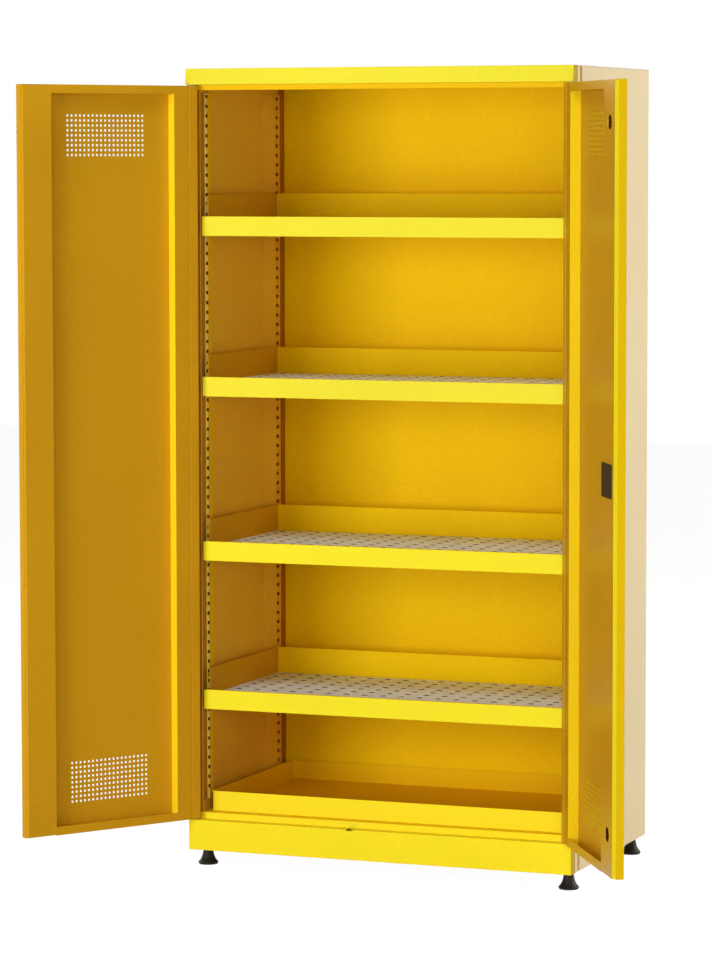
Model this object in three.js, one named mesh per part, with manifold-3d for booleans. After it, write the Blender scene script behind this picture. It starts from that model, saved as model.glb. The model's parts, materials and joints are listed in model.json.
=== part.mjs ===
// A steel cabinet for storing chemicals. Two pan doors turn on pivot pins and stand open. Behind them
// four tray shelves with perforated inserts hang in slotted uprights over a sump tray on the floor.
// Lengths are in millimetres, X points right, Y to the back and Z up.
// The origin is at the middle of the underside of the base, and the feet reach below it.

import * as THREE from "three";
import { mergeVertices } from "three/addons/utils/BufferGeometryUtils.js";
import Module from "manifold-3d";

const wasm = await Module();
wasm.setup();

// Overall sizes
const BODY_WIDTH = 1010;
const BODY_DEPTH = 615;
const OVERALL_HEIGHT = 2000;
const FOOT_HEIGHT = 45;
const BODY_HEIGHT = OVERALL_HEIGHT - FOOT_HEIGHT;

// Sheet metal
const SHEET = 1.5;
const SEAM = 0.25;
const CUT_OVERRUN = 6;

// Front: the fascia, the doors and the plinth are all as deep as each other
const FRONT_DEPTH = 28;
const FASCIA_HEIGHT = 40;
const PLINTH_HEIGHT = 76;
const STRIKE_NOTCH_WIDTH = 16;
const STRIKE_NOTCH_DROP = 3;
const STRIKE_NOTCH_FROM_MIDDLE = 72;

// Carcass: an outer casing and an inner lining with a hollow between them
const WALL_THICKNESS = 19;
const DOOR_SWEEP_GAP = 3.5;
const GROOVE_FROM_EDGE = 18;
const GROOVE_WIDTH = 17;
const GROOVE_DEPTH = 4;
const TOP_RETURN = 20;
const BACK_HOLLOW = 14;
const LINER_RETURN = 5;
const HEADER_DROP = 13;
const HEADER_DEPTH = 34;
const RAIL_END_GAP = 20;
const RAIL_DOOR_GAP = 0.5;
const RAIL_TOP_GAP = 4;
const SILL_RISE = 16;
const SILL_FOOT_GAP = 1;
const BASE_FLANGE = 62;
const CROSSBAR_WIDTH = 80;
const CROSSBAR_WALL = 2.5;

// Levelling feet
const FOOT_FROM_SIDE = 26;
const FOOT_FROM_FRONT = 63;
const FOOT_FROM_BACK = 40;
const FOOT_RADIUS = 25.5;
const FOOT_EDGE_HEIGHT = 5;
const FOOT_EDGE_SLOPE = 1.5;
const FOOT_NECK_RADIUS = 11.5;
const FOOT_FLARE_RADIUS_SHARES = [1.3, 1.1];
const FOOT_FLARE_HEIGHT_SHARES = [0.7, 0.35];
const STUD_RADIUS = 5;
const STUD_ABOVE_FLANGE = 24;
const STUD_IN_FOOT = 30;
const NUT_SIDES = 6;
const NUT_RADIUS = 9.5;
const NUT_HEIGHT = 8;

// Uprights and their slots
const UPRIGHT_STAND_OFF = 8;
const UPRIGHT_FLANGE = 6;
const FRONT_UPRIGHT_FLANGE = 26;
const UPRIGHT_BOTTOM = 120;
const UPRIGHT_HEAD_GAP = 6;
const FRONT_RIDGE_FROM_FRONT = 72.5;
const FRONT_RIDGE_WIDTH = 26;
const FRONT_RAMP = 1.5;
const REAR_RIDGE_FROM_BACK = 65.5;
const REAR_RIDGE_WIDTH = 29;
const REAR_RAMP = 63;
const RIDGE_BACK_SLOPE = 6;
const FRONT_SLOT_WIDTH = 8;
const FRONT_SLOT_IN_FLANK = 4.2;
const REAR_SLOT_FROM_EDGE = 1;
const REAR_SLOT_WIDTH = 17;
const SLOT_HEIGHT = 8;
const SLOT_PITCH = 100;
const SLOT_STEP = 12.5;
const SLOT_FROM_END = 13;

// Tray shelves, from the top one down: each hangs at a share of the uprights' length
const SHELF_LEVEL_SHARES = [0.838, 0.613, 0.38, 0.169];
const SHELF_SIDE_GAP = 9;
const SHELF_LIP_GAP = 0.75;
const SHELF_FRONT_FROM_FRONT = 35.5;
const SHELF_DEPTH = 470.5;
const SHELF_LIP_HEIGHT = 48.5;
const SHELF_FLANGE_RISE = 53;
const SHELF_LIP_HEM = 9;
const SHELF_FLANGE_FROM_LIP = 18;
const HOOK_FROM_FLANGE_TOP = 22;
const HOOK_WIDTH = 5;
const HOOK_HEIGHT = 5;
const HOOK_TOE_DROP = 7;
const HOOK_TOE_THICKNESS = 2;
const EAR_LENGTH = 16;
const EAR_HEIGHT = 46;

// Perforated inserts that lie in the tray shelves
const GRID_SIDE_GAP = 1;
const GRID_BELOW_LIP = 14;
const GRID_HOLE = 16;
const GRID_PITCH = 98;
const GRID_COLUMNS = 9;
const GRID_ROWS = 4;

// Sump tray on the floor
const SUMP_FROM_SIDE = 42;
const SUMP_FROM_FRONT = 58.5;
const SUMP_BACK_GAP = 6;
const SUMP_HEIGHT = 50;
const SUMP_HEM = 4;

// Doors: measured from the hinge end, from the outer face and from each end of the door
const DOOR_MEETING_GAP = 3;
const DOOR_END_GAP = 2.5;
const PIVOT_FROM_END = 9;
const PIVOT_FROM_FACE = 11.5;
const LEFT_DOOR_ANGLE = 123;
const RIGHT_DOOR_ANGLE = 121.5;
const DOOR_END_FLANGE = 21;
const DOOR_HINGE_FLANGE = 23;
const DOOR_FREE_RETURN = 19;
const HINGE_STILE_EDGE = 68;
const HINGE_STILE_SLOPE = 8;
const HINGE_STILE_LIP = 8;
const PLAIN_STILE_WIDTH = 82;
const LOCK_STILE_WIDTH = 107;
const VENT_FROM_END = 122.5;
const VENT_COLUMNS = 9;
const VENT_ROWS = 5;
const VENT_PITCH = 25;
const VENT_HOLE = 12.5;

// Pivot pins in the fascia and plinth, and the bushes in the doors that turn on them
const PIN_RADIUS = 4;
const PIN_CLEARANCE = 0.4;
const PIN_HEAD_RADIUS = 7;
const PIN_HEAD_HEIGHT = 3;
const PIN_REACH = 14;
const BUSH_RADIUS = 6;
const BUSH_FLANGE_RADIUS = 8;
const BUSH_DEPTH = 11;

// Lock in the right door
const LOCK_FROM_FREE_EDGE = 62.5;
const LOCK_COVER_WIDTH = 88;
const LOCK_COVER_HEIGHT = 79;
const LOCK_COVER_THICKNESS = 2.5;
const LOCK_CUTOUT_WIDTH = 66;
const LOCK_CUTOUT_HEIGHT = 60;
const LOCK_SKIRT_WALL = 2;
const LOCK_SKIRT_DEPTH = 8;
const ACCESS_HOLE_RADIUS = 17.5;
const ACCESS_HOLE_FROM_END = 97.5;
const ACCESS_HOLE_FROM_FREE_EDGE = 50;
const CAM_PIN_CIRCLE = 17;
const CAM_RIM = 7;
const CAM_FROM_FACE = 5;
const CAM_THICKNESS = 4;
const CAM_PIN_RADIUS = 3;
const CAM_PIN_LENGTH = 8;
const CAM_TURN = 90;
const ROD_WIDTH = 16;
const ROD_THICKNESS = 3;
const ROD_FROM_FACE = 10.5;
const ROD_SLOT_LENGTH = 12;
const ROD_SLOT_HEIGHT = 7.5;
const ROD_SLOT_FROM_END = 8;
const ROD_TIP_CHAMFER = 4;
const ROD_TIP_INSET = 1;
const ROD_CLEARANCE = 0.75;
const GUIDE_WIDTH = 30;
const GUIDE_HEIGHT = 14;
const GUIDE_FROM_END = 40;
const SPINDLE_WIDTH = 9;
const SPINDLE_FIT = 0.3;
const SPINDLE_PAST_CAM = 0.5;
const HANDLE_SHAFT_RADIUS = 8;
const HANDLE_HUB_RADIUS = 17;
const HANDLE_HUB_HEIGHT = 6.5;
const HANDLE_LEVER_LENGTH = 105;
const HANDLE_LEVER_WIDTH = 24;
const HANDLE_TIP_WIDTH = 20;
const HANDLE_LEVER_THICKNESS = 6;
const HANDLE_CRANK_FROM_HUB = 26;
const HANDLE_CRANK_LENGTH = 16;
const HANDLE_CRANK_RISE = 10;
const ESCUTCHEON_RADIUS = 26;
const ESCUTCHEON_THICKNESS = 3;
const ESCUTCHEON_CHAMFER = 1;
const KEY_PLUG_RADIUS = 6;
const KEY_PLUG_DEPTH = 10;
const KEY_PLUG_PROUD = 0.5;
const KEY_SLOT_WIDTH = 2;
const KEY_SLOT_LENGTH = 8;
const KEY_SLOT_DEPTH = 6;
const TURNING_GAP = 0.3;

const ROUND_STEPS = 12;
const HOLE_STEPS = 16;
const FOOT_STEPS = 16;
const FLARE_STEPS = 4;

// Places that follow from the sizes
const HALF_WIDTH = BODY_WIDTH / 2;
const FRONT = -BODY_DEPTH / 2;
const BACK = BODY_DEPTH / 2;
const DOOR_BACK = FRONT + FRONT_DEPTH;
const CARCASS_FRONT = DOOR_BACK + DOOR_SWEEP_GAP;
const LINER_FACE = HALF_WIDTH - WALL_THICKNESS;
const RAIL_FACE = DOOR_BACK + RAIL_DOOR_GAP;
const RAIL_HALF = HALF_WIDTH - RAIL_END_GAP;
const CASING_INSIDE = HALF_WIDTH - GROOVE_DEPTH - SHEET - SEAM;
const FOOT_RAIL_INNER = CASING_INSIDE - BASE_FLANGE;
const BACK_PANEL_HALF = HALF_WIDTH - SHEET - SEAM;
const CASING_BACK = BACK - SHEET - SEAM;
const CASING_FRONT = CARCASS_FRONT + SHEET + SEAM;
const BACK_LINER_FACE = BACK - SHEET - BACK_HOLLOW;
const FLOOR = PLINTH_HEIGHT + SILL_RISE;
const FASCIA_BOTTOM = BODY_HEIGHT - FASCIA_HEIGHT;
const LINING_BOTTOM = FLOOR + SEAM;
const RIDGE_FACE = LINER_FACE - UPRIGHT_STAND_OFF;
const SHELF_HALF = RIDGE_FACE - SHELF_SIDE_GAP;
const SHELF_LIP_HALF = RIDGE_FACE - SHELF_LIP_GAP;
const SHELF_FRONT = FRONT + SHELF_FRONT_FROM_FRONT;
const SHELF_BACK = SHELF_FRONT + SHELF_DEPTH;
const DOOR_WIDTH = HALF_WIDTH - DOOR_MEETING_GAP / 2;
const UPRIGHT_TOP = FASCIA_BOTTOM - HEADER_DROP - UPRIGHT_HEAD_GAP;
const SLOT_STEPS = (UPRIGHT_TOP - UPRIGHT_BOTTOM) / SLOT_STEP;
const LOWEST_SLOT = UPRIGHT_BOTTOM + SLOT_FROM_END;
const HOOK_LEVELS = SHELF_LEVEL_SHARES.map(
  (share) => LOWEST_SLOT + Math.round(share * SLOT_STEPS) * SLOT_STEP,
);
const HOOK_OVER_LIP = SHELF_FLANGE_RISE - HOOK_FROM_FLANGE_TOP;
const DOOR_BOTTOM = PLINTH_HEIGHT + DOOR_END_GAP;
const DOOR_TOP = FASCIA_BOTTOM - DOOR_END_GAP;
const LOCK_PLACE = DOOR_WIDTH - LOCK_FROM_FREE_EDGE;
const LOCK_LEVEL = (DOOR_BOTTOM + DOOR_TOP) / 2;
const CAM_SWING = THREE.MathUtils.degToRad(CAM_TURN / 2);
const CAM_PIN_SIDE = CAM_PIN_CIRCLE * Math.cos(CAM_SWING);
const CAM_PIN_RISE = CAM_PIN_CIRCLE * Math.sin(CAM_SWING);
const ROD_OFFSET = (CAM_PIN_SIDE + CAM_PIN_CIRCLE) / 2;

// Paint, metal and plastic
const FINISHES = {
  yellow: { color: 0xf8d820, roughness: 0.45, metalness: 0.0 },
  beige: { color: 0xe2d4aa, roughness: 0.5, metalness: 0.0 },
  galvanised: { color: 0xc3bcaf, roughness: 0.4, metalness: 0.8 },
  steel: { color: 0xa8a9ab, roughness: 0.35, metalness: 0.9 },
  black: { color: 0x232420, roughness: 0.55, metalness: 0.0 },
  nylon: { color: 0xd8d4c8, roughness: 0.6, metalness: 0.0 },
};

// A closed mesh becomes a solid that can be cut and joined.
function solid(geometry) {
  const bare = geometry.index ? geometry : geometry.clone();
  bare.deleteAttribute("normal");
  bare.deleteAttribute("uv");
  const merged = mergeVertices(bare);
  const mesh = new wasm.Mesh({
    numProp: 3,
    vertProperties: new Float32Array(merged.attributes.position.array),
    triVerts: new Uint32Array(merged.index.array),
  });
  return new wasm.Manifold(mesh);
}

// A box between two values along each axis
function block([left, right], [front, back], [bottom, top]) {
  const geometry = new THREE.BoxGeometry(right - left, back - front, top - bottom);
  geometry.translate((left + right) / 2, (front + back) / 2, (bottom + top) / 2);
  return solid(geometry);
}

function extruded(outline, length) {
  const shape = new THREE.Shape(outline.map(([a, b]) => new THREE.Vector2(a, b)));
  return new THREE.ExtrudeGeometry(shape, { depth: length, bevelEnabled: false });
}

// An outline in X and Y, drawn up from one height to another
function upright([bottom, top], outline) {
  return solid(extruded(outline, top - bottom).translate(0, 0, bottom));
}

// An outline in Y and Z, drawn from left to right
function crosswise([left, right], outline) {
  const turn = new THREE.Matrix4().makeBasis(
    new THREE.Vector3(0, 1, 0),
    new THREE.Vector3(0, 0, 1),
    new THREE.Vector3(1, 0, 0),
  );
  return solid(extruded(outline, right - left).applyMatrix4(turn).translate(left, 0, 0));
}

// An outline in X and Z, drawn from front to back
function lengthwise([front, back], outline) {
  const turn = new THREE.Matrix4().makeBasis(
    new THREE.Vector3(1, 0, 0),
    new THREE.Vector3(0, 0, 1),
    new THREE.Vector3(0, -1, 0),
  );
  return solid(extruded(outline, back - front).applyMatrix4(turn).translate(0, back, 0));
}

// A profile of radius and height, turned about a vertical axis
function turned(profile, steps, [x, y] = [0, 0]) {
  const points = profile.map(([radius, height]) => new THREE.Vector2(radius, height));
  return solid(new THREE.LatheGeometry(points, steps).rotateX(Math.PI / 2).translate(x, y, 0));
}

// A round bar along Y
function roundBar(radius, [front, back], [x, z], steps = ROUND_STEPS) {
  const geometry = new THREE.CylinderGeometry(radius, radius, back - front, steps);
  return solid(geometry.translate(x, (front + back) / 2, z));
}

// A round bar along Z
function roundPost(radius, [bottom, top], [x, y], steps = ROUND_STEPS) {
  const geometry = new THREE.CylinderGeometry(radius, radius, top - bottom, steps);
  return solid(geometry.rotateX(Math.PI / 2).translate(x, y, (bottom + top) / 2));
}

const join = (...solids) => solids.reduce((whole, next) => whole.add(next));
const cut = (body, ...tools) => tools.reduce((rest, tool) => rest.subtract(tool), body);

// The outline of a folded sheet: the path is one face of the sheet, and its thickness lies to the
// left of the way that the path runs.
function foldedSheet(path, thickness = SHEET) {
  const points = path.map(([a, b]) => new THREE.Vector2(a, b));
  const other = points.map((point, index) => {
    const before = index > 0 ? point.clone().sub(points[index - 1]).normalize() : null;
    const after = index < points.length - 1 ? points[index + 1].clone().sub(point).normalize() : null;
    const first = before ?? after;
    const second = after ?? before;
    const across = new THREE.Vector2(-first.y - second.y, first.x + second.x).normalize();
    const reach = thickness / (across.x * -first.y + across.y * first.x);
    return [point.x + across.x * reach, point.y + across.y * reach];
  });
  return [...path, ...other.reverse()];
}

// The centres of a row of equal steps about a middle
function spread(count, pitch, middle) {
  return Array.from({ length: count }, (unused, index) => middle + (index - (count - 1) / 2) * pitch);
}

// The range of a length about its middle
const about = (middle, length) => [middle - length / 2, middle + length / 2];

// The same piece on the other side of the cabinet
function mirrored(geometry) {
  const copy = geometry.clone();
  copy.scale(-1, 1, 1);
  const index = copy.index.array;
  for (let corner = 0; corner < index.length; corner += 3) {
    [index[corner + 1], index[corner + 2]] = [index[corner + 2], index[corner + 1]];
  }
  return copy;
}

function geometryOf(body) {
  const { vertProperties, triVerts } = body.getMesh();
  const geometry = new THREE.BufferGeometry();
  geometry.setAttribute("position", new THREE.BufferAttribute(new Float32Array(vertProperties), 3));
  geometry.setIndex(new THREE.BufferAttribute(new Uint32Array(triVerts), 1));
  return geometry;
}

function addPiece(group, name, geometry, finish) {
  const material = new THREE.MeshStandardMaterial({ ...FINISHES[finish], flatShading: true });
  const mesh = new THREE.Mesh(geometry, material);
  mesh.name = name;
  group.add(mesh);
  return mesh;
}

// Pieces built for the right-hand side, and mirrored for the left-hand side
function addPair(group, name, body, finish) {
  const right = geometryOf(body);
  addPiece(group, `${name}_right`, right, finish);
  addPiece(group, `${name}_left`, mirrored(right), finish);
}

// A shallow box open at the back, with a wall of one sheet
function frontPan([bottom, top]) {
  const outside = block([-HALF_WIDTH, HALF_WIDTH], [FRONT, DOOR_BACK], [bottom, top]);
  const inside = block(
    [-HALF_WIDTH + SHEET, HALF_WIDTH - SHEET],
    [FRONT + SHEET, DOOR_BACK + CUT_OVERRUN],
    [bottom + SHEET, top - SHEET],
  );
  return cut(outside, inside);
}

// The holes in the fascia and plinth that the pivot pins and the locking rod pass through
function frontHoles(rodSide, [bottom, top]) {
  const pinPlace = HALF_WIDTH - PIVOT_FROM_END;
  const holes = [-pinPlace, pinPlace].map((x) =>
    roundPost(PIN_RADIUS + PIN_CLEARANCE, [bottom, top], [x, FRONT + PIVOT_FROM_FACE]),
  );
  const rodPlace = HALF_WIDTH - LOCK_PLACE - rodSide * ROD_OFFSET;
  const rodWidth = ROD_WIDTH / 2 + 2 * ROD_CLEARANCE;
  const rodFront = FRONT + ROD_FROM_FACE - 2 * ROD_CLEARANCE;
  const rodBack = FRONT + ROD_FROM_FACE + ROD_THICKNESS + 2 * ROD_CLEARANCE;
  holes.push(block([rodPlace - rodWidth, rodPlace + rodWidth], [rodFront, rodBack], [bottom, top]));
  return holes;
}

function fascia() {
  const pan = frontPan([FASCIA_BOTTOM, BODY_HEIGHT]);
  return cut(pan, ...frontHoles(1, [FASCIA_BOTTOM - CUT_OVERRUN, FASCIA_BOTTOM + CUT_OVERRUN]));
}

function plinth() {
  const pan = frontPan([0, PLINTH_HEIGHT]);
  const notch = block(
    [
      -STRIKE_NOTCH_FROM_MIDDLE - STRIKE_NOTCH_WIDTH / 2,
      -STRIKE_NOTCH_FROM_MIDDLE + STRIKE_NOTCH_WIDTH / 2,
    ],
    [FRONT - CUT_OVERRUN, DOOR_BACK + CUT_OVERRUN],
    [PLINTH_HEIGHT - STRIKE_NOTCH_DROP, PLINTH_HEIGHT + CUT_OVERRUN],
  );
  const holes = frontHoles(-1, [PLINTH_HEIGHT - CUT_OVERRUN, PLINTH_HEIGHT + CUT_OVERRUN]);
  return cut(pan, notch, ...holes);
}

// The outer side wall: a channel in plan with an upright groove near its front edge
function sidePanel() {
  const grooveFront = CARCASS_FRONT + GROOVE_FROM_EDGE;
  const grooveBack = grooveFront + GROOVE_WIDTH;
  const path = [
    [LINER_FACE + SHEET + SEAM, CARCASS_FRONT],
    [HALF_WIDTH, CARCASS_FRONT],
    [HALF_WIDTH, grooveFront],
    [HALF_WIDTH - GROOVE_DEPTH, grooveFront + GROOVE_DEPTH],
    [HALF_WIDTH - GROOVE_DEPTH, grooveBack - GROOVE_DEPTH],
    [HALF_WIDTH, grooveBack],
    [HALF_WIDTH, BACK],
    [LINER_FACE + SHEET + SEAM, BACK],
  ];
  return upright([0, BODY_HEIGHT - SHEET - SEAM], foldedSheet(path));
}

function sideLiner() {
  return block(
    [LINER_FACE, LINER_FACE + SHEET],
    [CARCASS_FRONT, CASING_BACK - LINER_RETURN - SEAM],
    [LINING_BOTTOM, BODY_HEIGHT - TOP_RETURN - SEAM],
  );
}

// The outer back wall: a sheet with its edges turned forward
function backPanel() {
  const sides = [-BACK_PANEL_HALF, BACK_PANEL_HALF];
  const depth = [CASING_BACK - LINER_RETURN, CASING_BACK];
  const heights = [LINING_BOTTOM, BODY_HEIGHT - TOP_RETURN - SEAM];
  const inside = block(
    [sides[0] + SHEET, sides[1] - SHEET],
    [depth[0] - CUT_OVERRUN, depth[1] - SHEET],
    [heights[0] + SHEET, heights[1] - SHEET],
  );
  return cut(block(sides, depth, heights), inside);
}

// The inner back wall: a sheet with its edges turned backward
function backLiner() {
  const sides = [-LINER_FACE + SEAM, LINER_FACE - SEAM];
  const depth = [BACK_LINER_FACE, BACK_LINER_FACE + LINER_RETURN];
  const heights = [LINING_BOTTOM, FASCIA_BOTTOM];
  const inside = block(
    [sides[0] + SHEET, sides[1] - SHEET],
    [depth[0] + SHEET, depth[1] + CUT_OVERRUN],
    [heights[0] + SHEET, heights[1] - SHEET],
  );
  return cut(block(sides, depth, heights), inside);
}

// The roof lies on the side walls, and its turned-down edges stand inside them.
function topPanel() {
  const bottom = BODY_HEIGHT - SHEET;
  const sheet = block([-HALF_WIDTH, HALF_WIDTH], [DOOR_BACK + SEAM, BACK], [bottom, BODY_HEIGHT]);
  const ring = block(
    [-CASING_INSIDE, CASING_INSIDE],
    [CASING_FRONT, CASING_BACK],
    [BODY_HEIGHT - TOP_RETURN, BODY_HEIGHT - SHEET / 2],
  );
  const hollow = block(
    [-CASING_INSIDE + SHEET, CASING_INSIDE - SHEET],
    [CASING_FRONT + SHEET, CASING_BACK - SHEET],
    [BODY_HEIGHT - TOP_RETURN - CUT_OVERRUN, bottom],
  );
  return cut(join(sheet, ring), hollow);
}

function ceilingLiner() {
  return block(
    [-LINER_FACE + SEAM, LINER_FACE - SEAM],
    [RAIL_FACE + HEADER_DEPTH + SEAM, BACK_LINER_FACE - SEAM],
    [FASCIA_BOTTOM - SHEET, FASCIA_BOTTOM],
  );
}

// A channel across the top of the opening, and the doors close against its face
function headerRail() {
  const back = RAIL_FACE + HEADER_DEPTH;
  const bottom = FASCIA_BOTTOM - HEADER_DROP;
  const top = BODY_HEIGHT - TOP_RETURN - RAIL_TOP_GAP;
  const path = [
    [back, bottom],
    [RAIL_FACE, bottom],
    [RAIL_FACE, top],
    [back, top],
  ];
  return crosswise([-RAIL_HALF, RAIL_HALF], foldedSheet(path, -SHEET));
}

// A channel across the front of the base, and the doors close against its upper edge
function sillRail() {
  const path = [
    [CASING_FRONT - SEAM, FLOOR],
    [RAIL_FACE, FLOOR],
    [RAIL_FACE, SILL_FOOT_GAP],
    [CASING_FRONT - SEAM, SILL_FOOT_GAP],
  ];
  return crosswise([-RAIL_HALF, RAIL_HALF], foldedSheet(path));
}

// The floor with deep turned-down sides and a flange along the foot of its front and back
function baseTray() {
  const sides = [-CASING_INSIDE, CASING_INSIDE];
  const depth = [CASING_FRONT, CASING_BACK];
  const inner = [sides[0] + SHEET, sides[1] - SHEET];
  const inside = block(inner, [depth[0] + SHEET, depth[1] - SHEET], [SHEET, FLOOR - SHEET]);
  const low = [-CUT_OVERRUN, SHEET + CUT_OVERRUN];
  const mouth = block(inner, [depth[0] + BASE_FLANGE, depth[1] - BASE_FLANGE], low);
  const bays = [-1, 1].map((side) =>
    block(
      onSide(side, [FOOT_RAIL_INNER - SEAM, inner[1]]),
      [depth[0] + SHEET, depth[1] - SHEET],
      low,
    ),
  );
  return cut(block(sides, depth, [0, FLOOR]), inside, mouth, ...bays);
}

// A strip along the foot of the base's side, with a hole for the stud of each foot
function footRail() {
  const strip = block(
    [FOOT_RAIL_INNER, CASING_INSIDE - SHEET - SEAM],
    [CASING_FRONT + SHEET + SEAM, CASING_BACK - SHEET - SEAM],
    [0, SHEET],
  );
  const studHoles = footPlaces().map((place) =>
    roundPost(STUD_RADIUS + PIN_CLEARANCE, [-CUT_OVERRUN, SHEET + CUT_OVERRUN], place),
  );
  return cut(strip, ...studHoles);
}

// A channel under the floor from side to side
function baseCrossbar() {
  const reach = FOOT_RAIL_INNER - SEAM;
  const top = FLOOR - SHEET - SEAM;
  const path = [
    [-CROSSBAR_WIDTH / 2, top],
    [-CROSSBAR_WIDTH / 2, 0],
    [CROSSBAR_WIDTH / 2, 0],
    [CROSSBAR_WIDTH / 2, top],
  ];
  return crosswise([-reach, reach], foldedSheet(path, CROSSBAR_WALL));
}

function footPlaces() {
  const side = HALF_WIDTH - FOOT_FROM_SIDE;
  const front = FRONT + FOOT_FROM_FRONT;
  const back = BACK - FOOT_FROM_BACK;
  return [
    [-side, front],
    [side, front],
    [-side, back],
    [side, back],
  ];
}

// A bell-shaped foot with a bore for the stud
function levellingFoot([x, y]) {
  const [lowRadius, highRadius] = FOOT_FLARE_RADIUS_SHARES.map((share) => share * FOOT_NECK_RADIUS);
  const [low, high] = FOOT_FLARE_HEIGHT_SHARES.map((share) => -share * FOOT_HEIGHT);
  const flare = new THREE.CubicBezierCurve(
    new THREE.Vector2(FOOT_RADIUS, FOOT_EDGE_HEIGHT - FOOT_HEIGHT),
    new THREE.Vector2(lowRadius, low),
    new THREE.Vector2(highRadius, high),
    new THREE.Vector2(FOOT_NECK_RADIUS, -SEAM),
  );
  const bore = STUD_RADIUS + PIN_CLEARANCE;
  const profile = [
    [0, -FOOT_HEIGHT],
    [FOOT_RADIUS - FOOT_EDGE_SLOPE, -FOOT_HEIGHT],
    ...flare.getPoints(FLARE_STEPS).map((point) => [point.x, point.y]),
    [bore, -SEAM],
    [bore, -STUD_IN_FOOT - SEAM],
    [0, -STUD_IN_FOOT - SEAM],
  ];
  return turned(profile, FOOT_STEPS, [x, y]);
}

// A threaded stud with the nut that locks it on top of the base's flange
function levellingStud([x, y]) {
  const stem = roundPost(STUD_RADIUS, [-STUD_IN_FOOT, SHEET + STUD_ABOVE_FLANGE], [x, y]);
  const nut = roundPost(NUT_RADIUS, [SHEET + SEAM, SHEET + SEAM + NUT_HEIGHT], [x, y], NUT_SIDES);
  return join(stem, nut);
}

// The levels of an upright's slots: a row at one pitch, and the ones that the shelves hook into
function slotLevels() {
  const count = Math.floor((UPRIGHT_TOP - UPRIGHT_BOTTOM - 2 * SLOT_FROM_END) / SLOT_PITCH) + 1;
  const row = Array.from({ length: count }, (unused, index) => LOWEST_SLOT + index * SLOT_PITCH);
  const free = row.filter((level) => HOOK_LEVELS.every((hook) => Math.abs(hook - level) >= SLOT_STEP));
  return [...HOOK_LEVELS, ...free];
}

// A rolled section that stands off the side wall: a flank or ramp in front, a ridge and a short slope
function slottedUpright({ ridgeFront, ridgeWidth, ramp, flange, slotReach, slotSides }) {
  const foot = LINER_FACE - SEAM - SHEET;
  const ridgeBack = ridgeFront + ridgeWidth;
  const path = [
    [foot, ridgeBack + RIDGE_BACK_SLOPE + UPRIGHT_FLANGE],
    [foot, ridgeBack + RIDGE_BACK_SLOPE],
    [RIDGE_FACE, ridgeBack],
    [RIDGE_FACE, ridgeFront],
    [foot, ridgeFront - ramp],
    [foot, ridgeFront - ramp - flange],
  ];
  const section = upright([UPRIGHT_BOTTOM, UPRIGHT_TOP], foldedSheet(path));
  const slots = slotLevels().map((level) =>
    block([RIDGE_FACE - CUT_OVERRUN, slotReach], slotSides, about(level, SLOT_HEIGHT)),
  );
  return cut(section, ...slots);
}

const frontRidge = () => FRONT + FRONT_RIDGE_FROM_FRONT;
const rearRidge = () => BACK - REAR_RIDGE_FROM_BACK - REAR_RIDGE_WIDTH;

// The slots of the narrow section notch its front fold.
function frontUpright() {
  const ridgeFront = frontRidge();
  return slottedUpright({
    ridgeFront,
    ridgeWidth: FRONT_RIDGE_WIDTH,
    ramp: FRONT_RAMP,
    flange: FRONT_UPRIGHT_FLANGE,
    slotReach: RIDGE_FACE + FRONT_SLOT_IN_FLANK,
    slotSides: [ridgeFront - CUT_OVERRUN, ridgeFront + FRONT_SLOT_WIDTH],
  });
}

function rearUpright() {
  const ridgeFront = rearRidge();
  const slotFront = ridgeFront + REAR_SLOT_FROM_EDGE;
  return slottedUpright({
    ridgeFront,
    ridgeWidth: REAR_RIDGE_WIDTH,
    ramp: REAR_RAMP,
    flange: UPRIGHT_FLANGE,
    slotReach: LINER_FACE - SHEET,
    slotSides: [slotFront, slotFront + REAR_SLOT_WIDTH],
  });
}

// A range on the right-hand side, or its mirror image on the left
const onSide = (side, [near, far]) => (side > 0 ? [near, far] : [-far, -near]);

// A hook that passes through a slot and drops behind the ridge
function shelfHook(side, place, level) {
  const bottom = level - SLOT_HEIGHT / 2 + SEAM;
  const toe = RIDGE_FACE + SHEET + SEAM;
  const arm = block(
    onSide(side, [SHELF_HALF - SHEET / 2, toe + HOOK_TOE_THICKNESS]),
    about(place, HOOK_WIDTH),
    [bottom, bottom + HOOK_HEIGHT],
  );
  const drop = block(
    onSide(side, [toe, toe + HOOK_TOE_THICKNESS]),
    about(place, HOOK_WIDTH),
    [bottom - HOOK_TOE_DROP, bottom + HOOK_HEIGHT / 2],
  );
  return join(arm, drop);
}

// The parts of a shelf's end that stand outside the tray
function shelfEnd(side, level) {
  const top = level - HOOK_OVER_LIP + SHELF_FLANGE_RISE;
  const frontHook = frontRidge() + SHEET + SEAM + HOOK_WIDTH / 2;
  const rearHook = rearRidge() + REAR_SLOT_FROM_EDGE + REAR_SLOT_WIDTH / 2;
  const ear = block(
    onSide(side, [SHELF_HALF - SHEET, SHELF_HALF]),
    [SHELF_BACK - SHEET, rearHook + EAR_LENGTH / 2],
    [top - EAR_HEIGHT, top],
  );
  return join(ear, shelfHook(side, frontHook, level), shelfHook(side, rearHook, level));
}

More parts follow.
